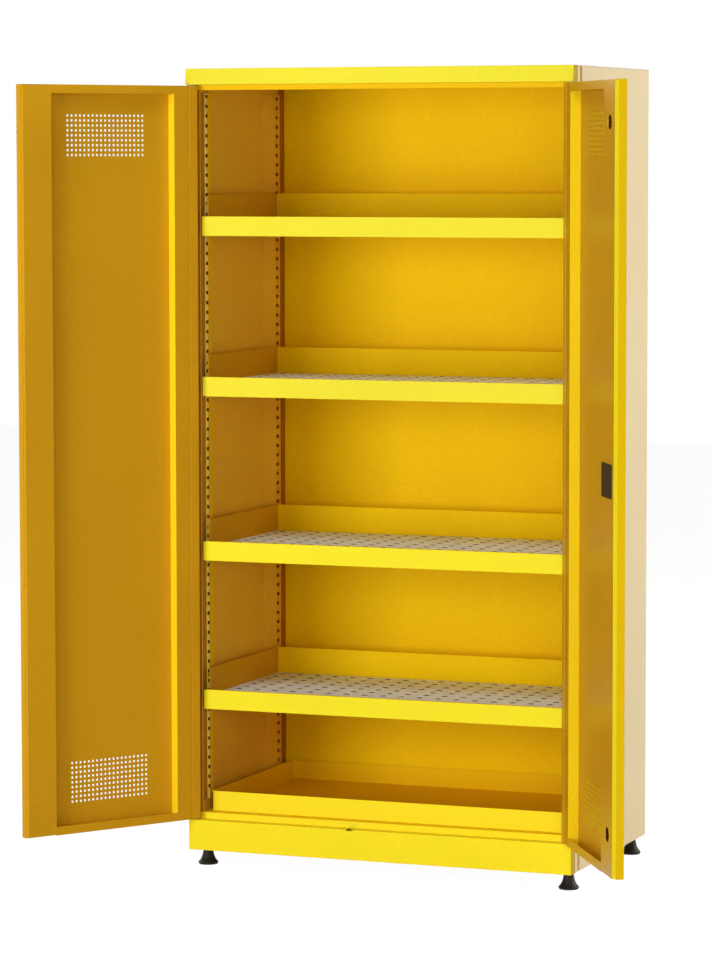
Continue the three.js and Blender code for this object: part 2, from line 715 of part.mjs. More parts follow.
// A tray shelf: a floor, a wide low front lip with a hem, and high sides and back
function trayShelf(level) {
  const lipTop = level - HOOK_OVER_LIP;
  const bottom = lipTop - SHELF_LIP_HEIGHT;
  const top = lipTop + SHELF_FLANGE_RISE;
  const hemBack = SHELF_FRONT + SHELF_LIP_HEM;
  const across = [-SHELF_HALF + SHEET, SHELF_HALF - SHEET];
  const outside = block([-SHELF_LIP_HALF, SHELF_LIP_HALF], [SHELF_FRONT, SHELF_BACK], [bottom, top]);
  const inside = block(across, [hemBack, SHELF_BACK - SHEET], [bottom + SHEET, top + CUT_OVERRUN]);
  const underHem = block(
    across,
    [SHELF_FRONT + SHEET, hemBack + CUT_OVERRUN],
    [bottom + SHEET, lipTop - SHEET],
  );
  const frontOpening = block(
    [-SHELF_LIP_HALF - CUT_OVERRUN, SHELF_LIP_HALF + CUT_OVERRUN],
    [SHELF_FRONT - CUT_OVERRUN, SHELF_FRONT + SHELF_FLANGE_FROM_LIP],
    [lipTop, top + CUT_OVERRUN],
  );
  const besideTray = [-1, 1].map((side) =>
    block(
      onSide(side, [SHELF_HALF, SHELF_LIP_HALF + CUT_OVERRUN]),
      [SHELF_FRONT + SHEET, SHELF_BACK + CUT_OVERRUN],
      [bottom - CUT_OVERRUN, top + CUT_OVERRUN],
    ),
  );
  const ends = [-1, 1].map((side) => shelfEnd(side, level));
  return join(cut(outside, inside, underHem, frontOpening, ...besideTray), ...ends);
}

// A perforated insert: a sheet turned down on all sides that stands on the shelf's floor
function shelfGrid(level) {
  const lipTop = level - HOOK_OVER_LIP;
  const half = SHELF_HALF - SHEET - GRID_SIDE_GAP;
  const sides = [-half, half];
  const depth = [SHELF_FRONT + SHELF_LIP_HEM + GRID_SIDE_GAP, SHELF_BACK - SHEET - GRID_SIDE_GAP];
  const heights = [lipTop - SHELF_LIP_HEIGHT + SHEET + SEAM, lipTop - GRID_BELOW_LIP];
  const hollow = block(
    [sides[0] + SHEET, sides[1] - SHEET],
    [depth[0] + SHEET, depth[1] - SHEET],
    [heights[0] - CUT_OVERRUN, heights[1] - SHEET],
  );
  const through = about(heights[1], CUT_OVERRUN);
  const holes = spread(GRID_COLUMNS, GRID_PITCH, 0).flatMap((x) =>
    spread(GRID_ROWS, GRID_PITCH, (depth[0] + depth[1]) / 2).map((y) =>
      block(about(x, GRID_HOLE), about(y, GRID_HOLE), through),
    ),
  );
  return cut(block(sides, depth, heights), hollow, ...holes);
}

// The sump: a deep tray on the floor with an outward hem on its sides
function sumpTray() {
  const half = HALF_WIDTH - SUMP_FROM_SIDE;
  const depth = [FRONT + SUMP_FROM_FRONT, BACK_LINER_FACE - SUMP_BACK_GAP];
  const heights = [FLOOR + SEAM, FLOOR + SEAM + SUMP_HEIGHT];
  const inside = block(
    [-half + SHEET, half - SHEET],
    [depth[0] + SHEET, depth[1] - SHEET],
    [heights[0] + SHEET, heights[1] + CUT_OVERRUN],
  );
  const hem = block([-half - SUMP_HEM, half + SUMP_HEM], depth, [heights[1] - SHEET, heights[1]]);
  return cut(join(block([-half, half], depth, heights), hem), inside);
}

// A door's own frame has its origin on the pivot axis. It is drawn closed, for the right-hand door,
// where a distance from the hinge end runs to the left.
const across = (fromEnd) => PIVOT_FROM_END - fromEnd;
const inward = (fromFace) => fromFace - PIVOT_FROM_FACE;
const acrossRange = (near, far) => [across(far), across(near)];
const inwardRange = (near, far) => [inward(near), inward(far)];

function ventHoles(level) {
  const through = inwardRange(-CUT_OVERRUN, CUT_OVERRUN);
  return spread(VENT_COLUMNS, VENT_PITCH, across(DOOR_WIDTH / 2)).flatMap((x) =>
    spread(VENT_ROWS, VENT_PITCH, level).map((z) =>
      block(about(x, VENT_HOLE), through, about(z, VENT_HOLE)),
    ),
  );
}

// The outer pan: a perforated skin with turned-in edges, lower at the free end where the stile stands
function doorPan(stileWidth) {
  const outside = block(acrossRange(0, DOOR_WIDTH), inwardRange(0, FRONT_DEPTH), [DOOR_BOTTOM, DOOR_TOP]);
  const hollow = block(
    acrossRange(SHEET, DOOR_WIDTH - SHEET),
    inwardRange(SHEET, FRONT_DEPTH - SHEET),
    [DOOR_BOTTOM + SHEET, DOOR_TOP - SHEET],
  );
  const mouth = block(
    acrossRange(DOOR_HINGE_FLANGE, DOOR_WIDTH - SHEET),
    inwardRange(FRONT_DEPTH / 2, FRONT_DEPTH + CUT_OVERRUN),
    [DOOR_BOTTOM + DOOR_END_FLANGE, DOOR_TOP - DOOR_END_FLANGE],
  );
  const hingeStileSeat = block(
    acrossRange(DOOR_HINGE_FLANGE, HINGE_STILE_EDGE + SEAM),
    inwardRange(FRONT_DEPTH / 2, FRONT_DEPTH + CUT_OVERRUN),
    [DOOR_BOTTOM + SHEET, DOOR_TOP - SHEET],
  );
  const vents = [...ventHoles(DOOR_BOTTOM + VENT_FROM_END), ...ventHoles(DOOR_TOP - VENT_FROM_END)];
  const freeStileSeat = block(
    acrossRange(DOOR_WIDTH - stileWidth - SEAM, DOOR_WIDTH + CUT_OVERRUN),
    inwardRange(DOOR_FREE_RETURN, FRONT_DEPTH + CUT_OVERRUN),
    [DOOR_BOTTOM - CUT_OVERRUN, DOOR_TOP + CUT_OVERRUN],
  );
  const bushSeats = [DOOR_BOTTOM, DOOR_TOP].map((end) =>
    roundPost(BUSH_RADIUS + SEAM, [end - CUT_OVERRUN, end + CUT_OVERRUN], [0, 0], HOLE_STEPS),
  );
  return cut(outside, hollow, mouth, hingeStileSeat, freeStileSeat, ...bushSeats, ...vents);
}

// The slots in the lock door's ends that its rods pass through
function rodExits() {
  const half = ROD_WIDTH / 2 + ROD_CLEARANCE;
  const depth = inwardRange(ROD_FROM_FACE - ROD_CLEARANCE, ROD_FROM_FACE + ROD_THICKNESS + ROD_CLEARANCE);
  return [
    [1, DOOR_TOP],
    [-1, DOOR_BOTTOM],
  ].map(([side, end]) => {
    const place = LOCK_PLACE + side * ROD_OFFSET;
    return block(acrossRange(place - half, place + half), depth, [end - CUT_OVERRUN, end + CUT_OVERRUN]);
  });
}

// A stile beside the hinge: a channel whose outer edge slopes under the pan's flange
function hingeStile() {
  const lipFace = inward(FRONT_DEPTH - SHEET - SEAM);
  const path = [
    [across(HINGE_STILE_EDGE), inward(SHEET + SEAM)],
    [across(HINGE_STILE_EDGE), inward(FRONT_DEPTH)],
    [across(DOOR_HINGE_FLANGE + HINGE_STILE_SLOPE), inward(FRONT_DEPTH)],
    [across(DOOR_HINGE_FLANGE), lipFace],
    [across(DOOR_HINGE_FLANGE - HINGE_STILE_LIP), lipFace],
  ];
  const ends = SHEET + SEAM;
  return upright([DOOR_BOTTOM + ends, DOOR_TOP - ends], foldedSheet(path, -SHEET));
}

// A stile at the free end: a channel that stands higher than the pan's return
function freeStile(width) {
  const outerEdge = DOOR_WIDTH - SHEET - SEAM;
  const innerEdge = DOOR_WIDTH - width;
  const path = [
    [across(innerEdge), inward(SHEET + SEAM)],
    [across(innerEdge), inward(FRONT_DEPTH)],
    [across(outerEdge), inward(FRONT_DEPTH)],
    [across(outerEdge), inward(SHEET + SEAM)],
  ];
  const ends = SHEET + SEAM;
  return upright([DOOR_BOTTOM + ends, DOOR_TOP - ends], foldedSheet(path, SHEET));
}

function lockStile() {
  const face = inwardRange(FRONT_DEPTH - CUT_OVERRUN, FRONT_DEPTH + CUT_OVERRUN);
  const cutout = block(
    acrossRange(LOCK_PLACE - LOCK_CUTOUT_WIDTH / 2, LOCK_PLACE + LOCK_CUTOUT_WIDTH / 2),
    face,
    [LOCK_LEVEL - LOCK_CUTOUT_HEIGHT / 2, LOCK_LEVEL + LOCK_CUTOUT_HEIGHT / 2],
  );
  const holePlace = across(DOOR_WIDTH - ACCESS_HOLE_FROM_FREE_EDGE);
  const holes = [DOOR_BOTTOM + ACCESS_HOLE_FROM_END, DOOR_TOP - ACCESS_HOLE_FROM_END].map((level) =>
    roundBar(ACCESS_HOLE_RADIUS, face, [holePlace, level], HOLE_STEPS),
  );
  return cut(freeStile(LOCK_STILE_WIDTH), cutout, ...holes);
}

// A flanged bush at one end of a door, with its flange in the gap beside the fascia or plinth
function pivotBush(end, outwards) {
  const flange = outwards * (DOOR_END_GAP - SEAM);
  const near = outwards * SEAM;
  const profile = [
    [PIN_RADIUS + PIN_CLEARANCE, end + flange],
    [BUSH_FLANGE_RADIUS, end + flange],
    [BUSH_FLANGE_RADIUS, end + near],
    [BUSH_RADIUS, end + near],
    [BUSH_RADIUS, end - outwards * BUSH_DEPTH],
    [PIN_RADIUS + PIN_CLEARANCE, end - outwards * BUSH_DEPTH],
    [PIN_RADIUS + PIN_CLEARANCE, end + flange],
  ];
  return turned(outwards < 0 ? profile : profile.reverse(), ROUND_STEPS);
}

// A headed pin that stands in the fascia or plinth and reaches into the door
function pivotPin(end, outwards) {
  const place = [HALF_WIDTH - PIVOT_FROM_END, FRONT + PIVOT_FROM_FACE];
  const headNear = end + outwards * (DOOR_END_GAP + SHEET + SEAM);
  const headFar = headNear + outwards * PIN_HEAD_HEIGHT;
  const tip = end - outwards * PIN_REACH;
  const shank = roundPost(PIN_RADIUS, [Math.min(tip, headFar), Math.max(tip, headFar)], place);
  const head = roundPost(PIN_HEAD_RADIUS, [Math.min(headNear, headFar), Math.max(headNear, headFar)], place);
  return join(shank, head);
}

// The cover of the lock on the door's inner face, with a skirt that reaches into the stile
function lockCover() {
  const rectangle = (width, height, depth) =>
    block(
      acrossRange(LOCK_PLACE - width / 2, LOCK_PLACE + width / 2),
      depth,
      [LOCK_LEVEL - height / 2, LOCK_LEVEL + height / 2],
    );
  const seat = FRONT_DEPTH + SEAM;
  const skirtWidth = LOCK_CUTOUT_WIDTH - 2 * SEAM;
  const skirtHeight = LOCK_CUTOUT_HEIGHT - 2 * SEAM;
  const skirtDepth = inwardRange(seat - LOCK_SKIRT_DEPTH, seat + LOCK_COVER_THICKNESS / 2);
  const plateDepth = inwardRange(seat, seat + LOCK_COVER_THICKNESS);
  const plate = rectangle(LOCK_COVER_WIDTH, LOCK_COVER_HEIGHT, plateDepth);
  const skirt = rectangle(skirtWidth, skirtHeight, skirtDepth);
  const hollow = rectangle(
    skirtWidth - 2 * LOCK_SKIRT_WALL,
    skirtHeight - 2 * LOCK_SKIRT_WALL,
    inwardRange(seat - LOCK_SKIRT_DEPTH - CUT_OVERRUN, seat),
  );
  return cut(join(plate, skirt), hollow);
}

// A disc on the handle's spindle with two pins, each in the slot of one rod
function lockCam() {
  const back = CAM_FROM_FACE + CAM_THICKNESS;
  const centre = [across(LOCK_PLACE), LOCK_LEVEL];
  const disc = roundBar(CAM_PIN_CIRCLE + CAM_RIM, inwardRange(CAM_FROM_FACE, back), centre, HOLE_STEPS);
  const pins = [1, -1].map((side) => {
    const place = [across(LOCK_PLACE + side * CAM_PIN_SIDE), LOCK_LEVEL - side * CAM_PIN_RISE];
    return roundBar(CAM_PIN_RADIUS, inwardRange(back - CAM_THICKNESS / 2, back + CAM_PIN_LENGTH), place);
  });
  const half = SPINDLE_WIDTH / 2 + SPINDLE_FIT;
  const squareBore = block(
    acrossRange(LOCK_PLACE - half, LOCK_PLACE + half),
    inwardRange(CAM_FROM_FACE - CUT_OVERRUN, back + CUT_OVERRUN),
    [LOCK_LEVEL - half, LOCK_LEVEL + half],
  );
  return cut(join(disc, ...pins), squareBore);
}

// A flat rod from the cam to one end of the door, with a cross slot for the cam's pin and a
// chamfered tip. It is drawn pulled in.
function lockRod(side, end) {
  const place = LOCK_PLACE + side * ROD_OFFSET;
  const slotLevel = LOCK_LEVEL - side * CAM_PIN_RISE;
  const foot = slotLevel - side * ROD_SLOT_FROM_END;
  const tip = end - side * ROD_TIP_INSET;
  const [left, right] = acrossRange(place - ROD_WIDTH / 2, place + ROD_WIDTH / 2);
  const shoulder = tip - side * ROD_TIP_CHAMFER;
  const outline = [
    [left, foot],
    [right, foot],
    [right, shoulder],
    [right - ROD_TIP_CHAMFER, tip],
    [left + ROD_TIP_CHAMFER, tip],
    [left, shoulder],
  ];
  const depth = inwardRange(ROD_FROM_FACE, ROD_FROM_FACE + ROD_THICKNESS);
  const slot = block(
    about(across(place), ROD_SLOT_LENGTH),
    inwardRange(ROD_FROM_FACE - CUT_OVERRUN, ROD_FROM_FACE + CUT_OVERRUN),
    about(slotLevel, ROD_SLOT_HEIGHT),
  );
  return cut(lengthwise(depth, outline), slot);
}

// A block in the stile that guides a rod near the end of the door
function rodGuide(side, end) {
  const place = LOCK_PLACE + side * ROD_OFFSET;
  const level = end - side * GUIDE_FROM_END;
  const heights = [level - GUIDE_HEIGHT / 2, level + GUIDE_HEIGHT / 2];
  const half = ROD_WIDTH / 2 + ROD_CLEARANCE;
  const body = block(
    acrossRange(place - GUIDE_WIDTH / 2, place + GUIDE_WIDTH / 2),
    inwardRange(SHEET + SEAM, FRONT_DEPTH - SHEET - SEAM),
    heights,
  );
  const passage = block(
    acrossRange(place - half, place + half),
    inwardRange(ROD_FROM_FACE - ROD_CLEARANCE, ROD_FROM_FACE + ROD_THICKNESS + ROD_CLEARANCE),
    [heights[0] - CUT_OVERRUN, heights[1] + CUT_OVERRUN],
  );
  return cut(body, passage);
}

// A round plate on the outer face that the handle's shaft turns in
function escutcheon() {
  const centre = [across(LOCK_PLACE), LOCK_LEVEL];
  const face = -SEAM - ESCUTCHEON_THICKNESS;
  const step = face + ESCUTCHEON_CHAMFER;
  const plate = roundBar(ESCUTCHEON_RADIUS, inwardRange(step, -SEAM), centre, HOLE_STEPS);
  const raised = roundBar(
    ESCUTCHEON_RADIUS - ESCUTCHEON_CHAMFER,
    inwardRange(face, step + ESCUTCHEON_CHAMFER / 2),
    centre,
    HOLE_STEPS,
  );
  const bore = roundBar(
    HANDLE_SHAFT_RADIUS + 2 * TURNING_GAP,
    inwardRange(face - CUT_OVERRUN, CUT_OVERRUN),
    centre,
  );
  return cut(join(plate, raised), bore);
}

// The flat lever of the handle, cranked away from the door to leave room for fingers
function handleLever(hubFront) {
  const [x, z] = [across(LOCK_PLACE), LOCK_LEVEL];
  const face = hubFront + (HANDLE_HUB_HEIGHT - HANDLE_LEVER_THICKNESS) / 2;
  const raised = face - HANDLE_CRANK_RISE;
  const crank = x + HANDLE_CRANK_FROM_HUB;
  const tip = x + HANDLE_LEVER_LENGTH;
  const path = [
    [x, inward(face)],
    [crank, inward(face)],
    [crank + HANDLE_CRANK_LENGTH, inward(raised)],
    [tip, inward(raised)],
  ];
  const half = HANDLE_LEVER_WIDTH / 2;
  const bar = upright([z - half, z + half], foldedSheet(path, HANDLE_LEVER_THICKNESS));
  const tapers = [-1, 1].map((side) =>
    lengthwise(inwardRange(raised - CUT_OVERRUN, hubFront + HANDLE_HUB_HEIGHT + CUT_OVERRUN), [
      [crank, z + side * half],
      [tip + CUT_OVERRUN, z + (side * HANDLE_TIP_WIDTH) / 2],
      [tip + CUT_OVERRUN, z + side * (half + CUT_OVERRUN)],
      [crank, z + side * (half + CUT_OVERRUN)],
    ]),
  );
  return cut(bar, ...tapers);
}

// The lever handle with its shaft and square spindle, drawn with the lever level
function turnHandle() {
  const centre = [across(LOCK_PLACE), LOCK_LEVEL];
  const hubBack = -SEAM - ESCUTCHEON_THICKNESS - TURNING_GAP;
  const hubFront = hubBack - HANDLE_HUB_HEIGHT;
  const spindleEnd = CAM_FROM_FACE + CAM_THICKNESS + SPINDLE_PAST_CAM;
  const [x, z] = centre;
  const hub = roundBar(HANDLE_HUB_RADIUS, inwardRange(hubFront, hubBack), centre, HOLE_STEPS);
  const shaftDepth = inwardRange(hubBack - SHEET, CAM_FROM_FACE - TURNING_GAP);
  const shaft = roundBar(HANDLE_SHAFT_RADIUS, shaftDepth, centre);
  const spindle = block(
    [x - SPINDLE_WIDTH / 2, x + SPINDLE_WIDTH / 2],
    inwardRange(0, spindleEnd),
    [z - SPINDLE_WIDTH / 2, z + SPINDLE_WIDTH / 2],
  );
  const plugSeat = roundBar(
    KEY_PLUG_RADIUS + TURNING_GAP,
    inwardRange(hubFront - CUT_OVERRUN, hubFront + KEY_PLUG_DEPTH),
    centre,
  );
  return cut(join(hub, shaft, spindle, handleLever(hubFront)), plugSeat);
}

// The lock's plug in the middle of the handle, with a slot for the key
function keyPlug() {
  const hubFront = -SEAM - ESCUTCHEON_THICKNESS - TURNING_GAP - HANDLE_HUB_HEIGHT;
  const front = hubFront - KEY_PLUG_PROUD;
  const centre = [across(LOCK_PLACE), LOCK_LEVEL];
  const plugDepth = inwardRange(front, hubFront + KEY_PLUG_DEPTH - TURNING_GAP);
  const plug = roundBar(KEY_PLUG_RADIUS, plugDepth, centre);
  const slot = block(
    [centre[0] - KEY_SLOT_WIDTH / 2, centre[0] + KEY_SLOT_WIDTH / 2],
    inwardRange(front - CUT_OVERRUN, front + KEY_SLOT_DEPTH),
    [LOCK_LEVEL - KEY_SLOT_LENGTH / 2, LOCK_LEVEL + KEY_SLOT_LENGTH / 2],
  );
  return cut(plug, slot);
}

function addCarcass(group) {
  addPair(group, "side_panel", sidePanel(), "beige");
  addPair(group, "side_liner", sideLiner(), "yellow");
  addPiece(group, "back_panel", geometryOf(backPanel()), "beige");
  addPiece(group, "back_liner", geometryOf(backLiner()), "yellow");
  addPiece(group, "top_panel", geometryOf(topPanel()), "beige");
  addPiece(group, "ceiling_liner", geometryOf(ceilingLiner()), "yellow");
  addPiece(group, "fascia", geometryOf(fascia()), "yellow");
  addPiece(group, "header_rail", geometryOf(headerRail()), "yellow");
  addPiece(group, "plinth", geometryOf(plinth()), "yellow");
  addPiece(group, "sill_rail", geometryOf(sillRail()), "yellow");
  addPiece(group, "base_tray", geometryOf(baseTray()), "yellow");
  addPiece(group, "base_crossbar", geometryOf(baseCrossbar()), "galvanised");
  addPair(group, "foot_rail", footRail(), "yellow");
  addPair(group, "upright_front", frontUpright(), "yellow");
  addPair(group, "upright_rear", rearUpright(), "yellow");
  addPair(group, "pivot_pin_upper", pivotPin(DOOR_TOP, 1), "steel");
  addPair(group, "pivot_pin_lower", pivotPin(DOOR_BOTTOM, -1), "steel");
}

function addFeet(group) {
  const names = ["front_left", "front_right", "rear_left", "rear_right"];
  footPlaces().forEach((place, index) => {
    addPiece(group, `foot_${names[index]}`, geometryOf(levellingFoot(place)), "black");
    addPiece(group, `foot_stud_${names[index]}`, geometryOf(levellingStud(place)), "steel");
  });
}

function addShelves(group) {
  HOOK_LEVELS.forEach((level, index) => {
    addPiece(group, `shelf_tray_${index + 1}`, geometryOf(trayShelf(level)), "yellow");
    addPiece(group, `shelf_grid_${index + 1}`, geometryOf(shelfGrid(level)), "galvanised");
  });
  addPiece(group, "sump_tray", geometryOf(sumpTray()), "yellow");
}

// One door's group, turned open about its pivot axis
function doorGroup(side, angle) {
  const group = new THREE.Group();
  group.position.set(side * (HALF_WIDTH - PIVOT_FROM_END), FRONT + PIVOT_FROM_FACE, 0);
  group.rotation.z = side * THREE.MathUtils.degToRad(angle);
  return group;
}

function leftDoor() {
  const group = doorGroup(-1, LEFT_DOOR_ANGLE);
  const pieces = [
    ["door_pan_left", doorPan(PLAIN_STILE_WIDTH), "yellow"],
    ["hinge_stile_left", hingeStile(), "yellow"],
    ["free_stile_left", freeStile(PLAIN_STILE_WIDTH), "yellow"],
    ["pivot_bush_upper_left", pivotBush(DOOR_TOP, 1), "nylon"],
    ["pivot_bush_lower_left", pivotBush(DOOR_BOTTOM, -1), "nylon"],
  ];
  pieces.forEach(([name, body, finish]) => addPiece(group, name, mirrored(geometryOf(body)), finish));
  return group;
}

function rightDoor() {
  const group = doorGroup(1, RIGHT_DOOR_ANGLE);
  const pieces = [
    ["door_pan_right", cut(doorPan(LOCK_STILE_WIDTH), ...rodExits(), shaftHole()), "yellow"],
    ["hinge_stile_right", hingeStile(), "yellow"],
    ["lock_stile", lockStile(), "yellow"],
    ["pivot_bush_upper_right", pivotBush(DOOR_TOP, 1), "nylon"],
    ["pivot_bush_lower_right", pivotBush(DOOR_BOTTOM, -1), "nylon"],
    ["lock_cover", lockCover(), "black"],
    ["escutcheon", escutcheon(), "black"],
    ["turn_handle", turnHandle(), "black"],
    ["key_plug", keyPlug(), "steel"],
    ["lock_cam", lockCam(), "steel"],
    ["lock_rod_upper", lockRod(1, DOOR_TOP), "steel"],
    ["lock_rod_lower", lockRod(-1, DOOR_BOTTOM), "steel"],
    ["rod_guide_upper", rodGuide(1, DOOR_TOP), "nylon"],
    ["rod_guide_lower", rodGuide(-1, DOOR_BOTTOM), "nylon"],
  ];
  pieces.forEach(([name, body, finish]) => addPiece(group, name, geometryOf(body), finish));
  return group;
}

function shaftHole() {
  const centre = [across(LOCK_PLACE), LOCK_LEVEL];
  return roundBar(HANDLE_SHAFT_RADIUS + 2 * TURNING_GAP, inwardRange(-CUT_OVERRUN, CUT_OVERRUN), centre);
}

const cabinet = new THREE.Group();
addCarcass(cabinet);
addFeet(cabinet);
addShelves(cabinet);
cabinet.add(leftDoor(), rightDoor());

export default cabinet;
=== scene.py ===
"""The looks of a steel cabinet for chemicals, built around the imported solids.

Lengths are in metres in the part's own frame: X to the right, Y to the back and Z up.
"""

import json
import math

import bmesh
import bpy
from mathutils import Matrix, Vector


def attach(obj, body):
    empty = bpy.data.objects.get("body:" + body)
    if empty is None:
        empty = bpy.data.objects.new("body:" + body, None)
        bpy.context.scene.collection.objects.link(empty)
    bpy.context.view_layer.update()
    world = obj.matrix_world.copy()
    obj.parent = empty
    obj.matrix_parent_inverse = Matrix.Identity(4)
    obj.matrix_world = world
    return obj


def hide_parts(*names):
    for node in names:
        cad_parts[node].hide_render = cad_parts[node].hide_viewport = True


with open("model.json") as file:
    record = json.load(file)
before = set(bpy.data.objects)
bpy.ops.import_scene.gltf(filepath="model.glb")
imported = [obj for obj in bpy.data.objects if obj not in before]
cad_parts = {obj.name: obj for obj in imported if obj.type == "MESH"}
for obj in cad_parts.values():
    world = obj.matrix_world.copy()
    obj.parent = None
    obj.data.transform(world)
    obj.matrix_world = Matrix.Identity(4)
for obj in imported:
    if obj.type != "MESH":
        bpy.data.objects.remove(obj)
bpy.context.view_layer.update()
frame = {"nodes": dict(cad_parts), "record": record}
scene = bpy.context.scene
MM = 0.001

# Sizes repeated from the solids
SHEET = 1.5 * MM
SEAM = 0.25 * MM
DOOR_DEPTH = 28 * MM
DOOR_WIDTH = 503.5 * MM
DOOR_BOTTOM = 78.5 * MM
DOOR_TOP = 1912.5 * MM
PIVOT_U = 9 * MM
PIVOT_V = 11.5 * MM
PIVOT_X = 496 * MM
PIVOT_Y = -296 * MM
DOOR_ANGLES = {"left": math.radians(-123), "right": math.radians(121.5)}
LIP_TOPS = [1589.5 * MM, 1189.5 * MM, 777 * MM, 402 * MM]
LOCK_U = 441 * MM
LINER_FACE = 486 * MM

# Meshes: how near corners count as one, and how far a cutting tool reaches past a sheet
WELD = 2e-6
OVER = 6 * MM
# How square a face stands to an axis
FACING = 0.9
EDGE_ON = 0.3

# Scales of the noises in the finishes
DRIFT_SCALE = 2.4
SPECKLE_SCALE = 190.0
PEEL_SCALE = 260.0
SPANGLE_SCALE = 95.0
SCRATCH_SCALE = 700.0
DRAWN_SCALE = 600.0
GRAIN_SCALE = 900.0
SHADE_SCALE = 12.0


# Materials
def new_material(name, rough, metallic=0.0, specular=0.5):
    mat = bpy.data.materials.new(name)
    mat.use_nodes = True
    tree = mat.node_tree
    shader = tree.nodes["Principled BSDF"]
    shader.inputs["Metallic"].default_value = metallic
    shader.inputs["Roughness"].default_value = rough
    shader.inputs["Specular IOR Level"].default_value = specular
    return mat, tree, shader


def node(tree, kind, **values):
    """A node with its inputs or its settings set by name."""
    made = tree.nodes.new(kind)
    for key, value in values.items():
        if key in made.inputs:
            made.inputs[key].default_value = value
        else:
            setattr(made, key, value)
    return made


def noise(tree, place, scale, detail=3.0, rough=0.55):
    made = node(tree, "ShaderNodeTexNoise", Scale=scale, Detail=detail, Roughness=rough)
    tree.links.new(place, made.inputs["Vector"])
    return made.outputs["Fac"]


def ramp(tree, source, stops):
    """A colour ramp with a stop for each pair of a place and a colour."""
    made = tree.nodes.new("ShaderNodeValToRGB")
    elements = made.color_ramp.elements
    while len(elements) < len(stops):
        elements.new(0.5)
    for element, (at, colour) in zip(elements, stops):
        element.position = at
        element.color = (*colour, 1.0)
    tree.links.new(source, made.inputs["Fac"])
    return made.outputs["Color"]


def spread(tree, source, low, high):
    """A value between 0 and 1 brought to a range."""
    made = node(tree, "ShaderNodeMapRange")
    made.inputs["To Min"].default_value = low
    made.inputs["To Max"].default_value = high
    tree.links.new(source, made.inputs["Value"])
    return made.outputs["Result"]


def shaded(colour, share):
    """A colour made darker or brighter."""
    return tuple(min(1.0, channel * share) for channel in colour)


def powder_paint(name, colour, rough=0.42, grain=1.0, specular=0.16):
    """Powder coat: fine orange peel, faint speckle and a slow drift of tone."""
    mat, tree, shader = new_material(name, rough, specular=specular)
    place = tree.nodes.new("ShaderNodeTexCoord").outputs["Object"]
    drift = noise(tree, place, DRIFT_SCALE, 2.0)
    speckle = noise(tree, place, SPECKLE_SCALE, 2.0, 0.6)
    peel = noise(tree, place, PEEL_SCALE, 2.0, 0.5)
    slow = ramp(tree, drift, [(0.3, shaded(colour, 0.965)), (0.7, shaded(colour, 1.02))])
    fine = ramp(tree, speckle, [(0.3, (0.87, 0.86, 0.84)), (0.7, (1.0, 1.0, 1.0))])
    blend = node(tree, "ShaderNodeMix", data_type="RGBA", blend_type="MULTIPLY")
    blend.inputs["Factor"].default_value = 0.55 * grain
    tree.links.new(slow, blend.inputs["A"])
    tree.links.new(fine, blend.inputs["B"])
    tree.links.new(blend.outputs["Result"], shader.inputs["Base Color"])
    tree.links.new(spread(tree, peel, rough - 0.06, rough + 0.08), shader.inputs["Roughness"])
    bump = node(tree, "ShaderNodeBump", Strength=0.22 * grain, Distance=0.0004)
    tree.links.new(peel, bump.inputs["Height"])
    tree.links.new(bump.outputs["Normal"], shader.inputs["Normal"])
    return mat


def galvanised(name, dull, clear):
    """Hot-dip zinc: a mosaic of faint crystals with a soft sheen."""
    mat, tree, shader = new_material(name, 0.5, metallic=0.05, specular=0.08)
    place = tree.nodes.new("ShaderNodeTexCoord").outputs["Object"]
    cells = node(tree, "ShaderNodeTexVoronoi", Scale=SPANGLE_SCALE)
    tree.links.new(place, cells.inputs["Vector"])
    grey = tree.nodes.new("ShaderNodeSeparateColor")
    tree.links.new(cells.outputs["Color"], grey.inputs["Color"])
    tone = ramp(tree, grey.outputs["Red"], [(0.0, dull), (1.0, clear)])
    tree.links.new(tone, shader.inputs["Base Color"])
    tree.links.new(spread(tree, grey.outputs["Green"], 0.42, 0.6), shader.inputs["Roughness"])
    scratch = noise(tree, place, SCRATCH_SCALE, 3.0)
    bump = node(tree, "ShaderNodeBump", Strength=0.1, Distance=0.0002)
    tree.links.new(scratch, bump.inputs["Height"])
    tree.links.new(bump.outputs["Normal"], shader.inputs["Normal"])
    return mat


def plated(name, colour=(0.56, 0.56, 0.57)):
    """Zinc plated steel with fine drawn marks."""
    mat, tree, shader = new_material(name, 0.32, metallic=0.95)
    place = tree.nodes.new("ShaderNodeTexCoord").outputs["Object"]
    marks = noise(tree, place, DRAWN_SCALE, 4.0)
    tone = ramp(tree, marks, [(0.3, shaded(colour, 0.85)), (0.7, shaded(colour, 1.1))])
    tree.links.new(tone, shader.inputs["Base Color"])
    tree.links.new(spread(tree, marks, 0.25, 0.42), shader.inputs["Roughness"])
    bump = node(tree, "ShaderNodeBump", Strength=0.08, Distance=0.0002)
    tree.links.new(marks, bump.inputs["Height"])
    tree.links.new(bump.outputs["Normal"], shader.inputs["Normal"])
    return mat


def moulded(name, colour, rough=0.5, specular=0.45):
    """Moulded plastic with a fine eroded grain."""
    mat, tree, shader = new_material(name, rough, specular=specular)
    place = tree.nodes.new("ShaderNodeTexCoord").outputs["Object"]
    grain = noise(tree, place, GRAIN_SCALE, 2.0)
    drift = noise(tree, place, SHADE_SCALE, 2.0)
    tone = ramp(tree, drift, [(0.3, shaded(colour, 0.85)), (0.7, shaded(colour, 1.2))])
    tree.links.new(tone, shader.inputs["Base Color"])
    tree.links.new(spread(tree, grain, rough - 0.08, rough + 0.1), shader.inputs["Roughness"])
    bump = node(tree, "ShaderNodeBump", Strength=0.2, Distance=0.0003)
    tree.links.new(grain, bump.inputs["Height"])
    tree.links.new(bump.outputs["Normal"], shader.inputs["Normal"])
    return mat


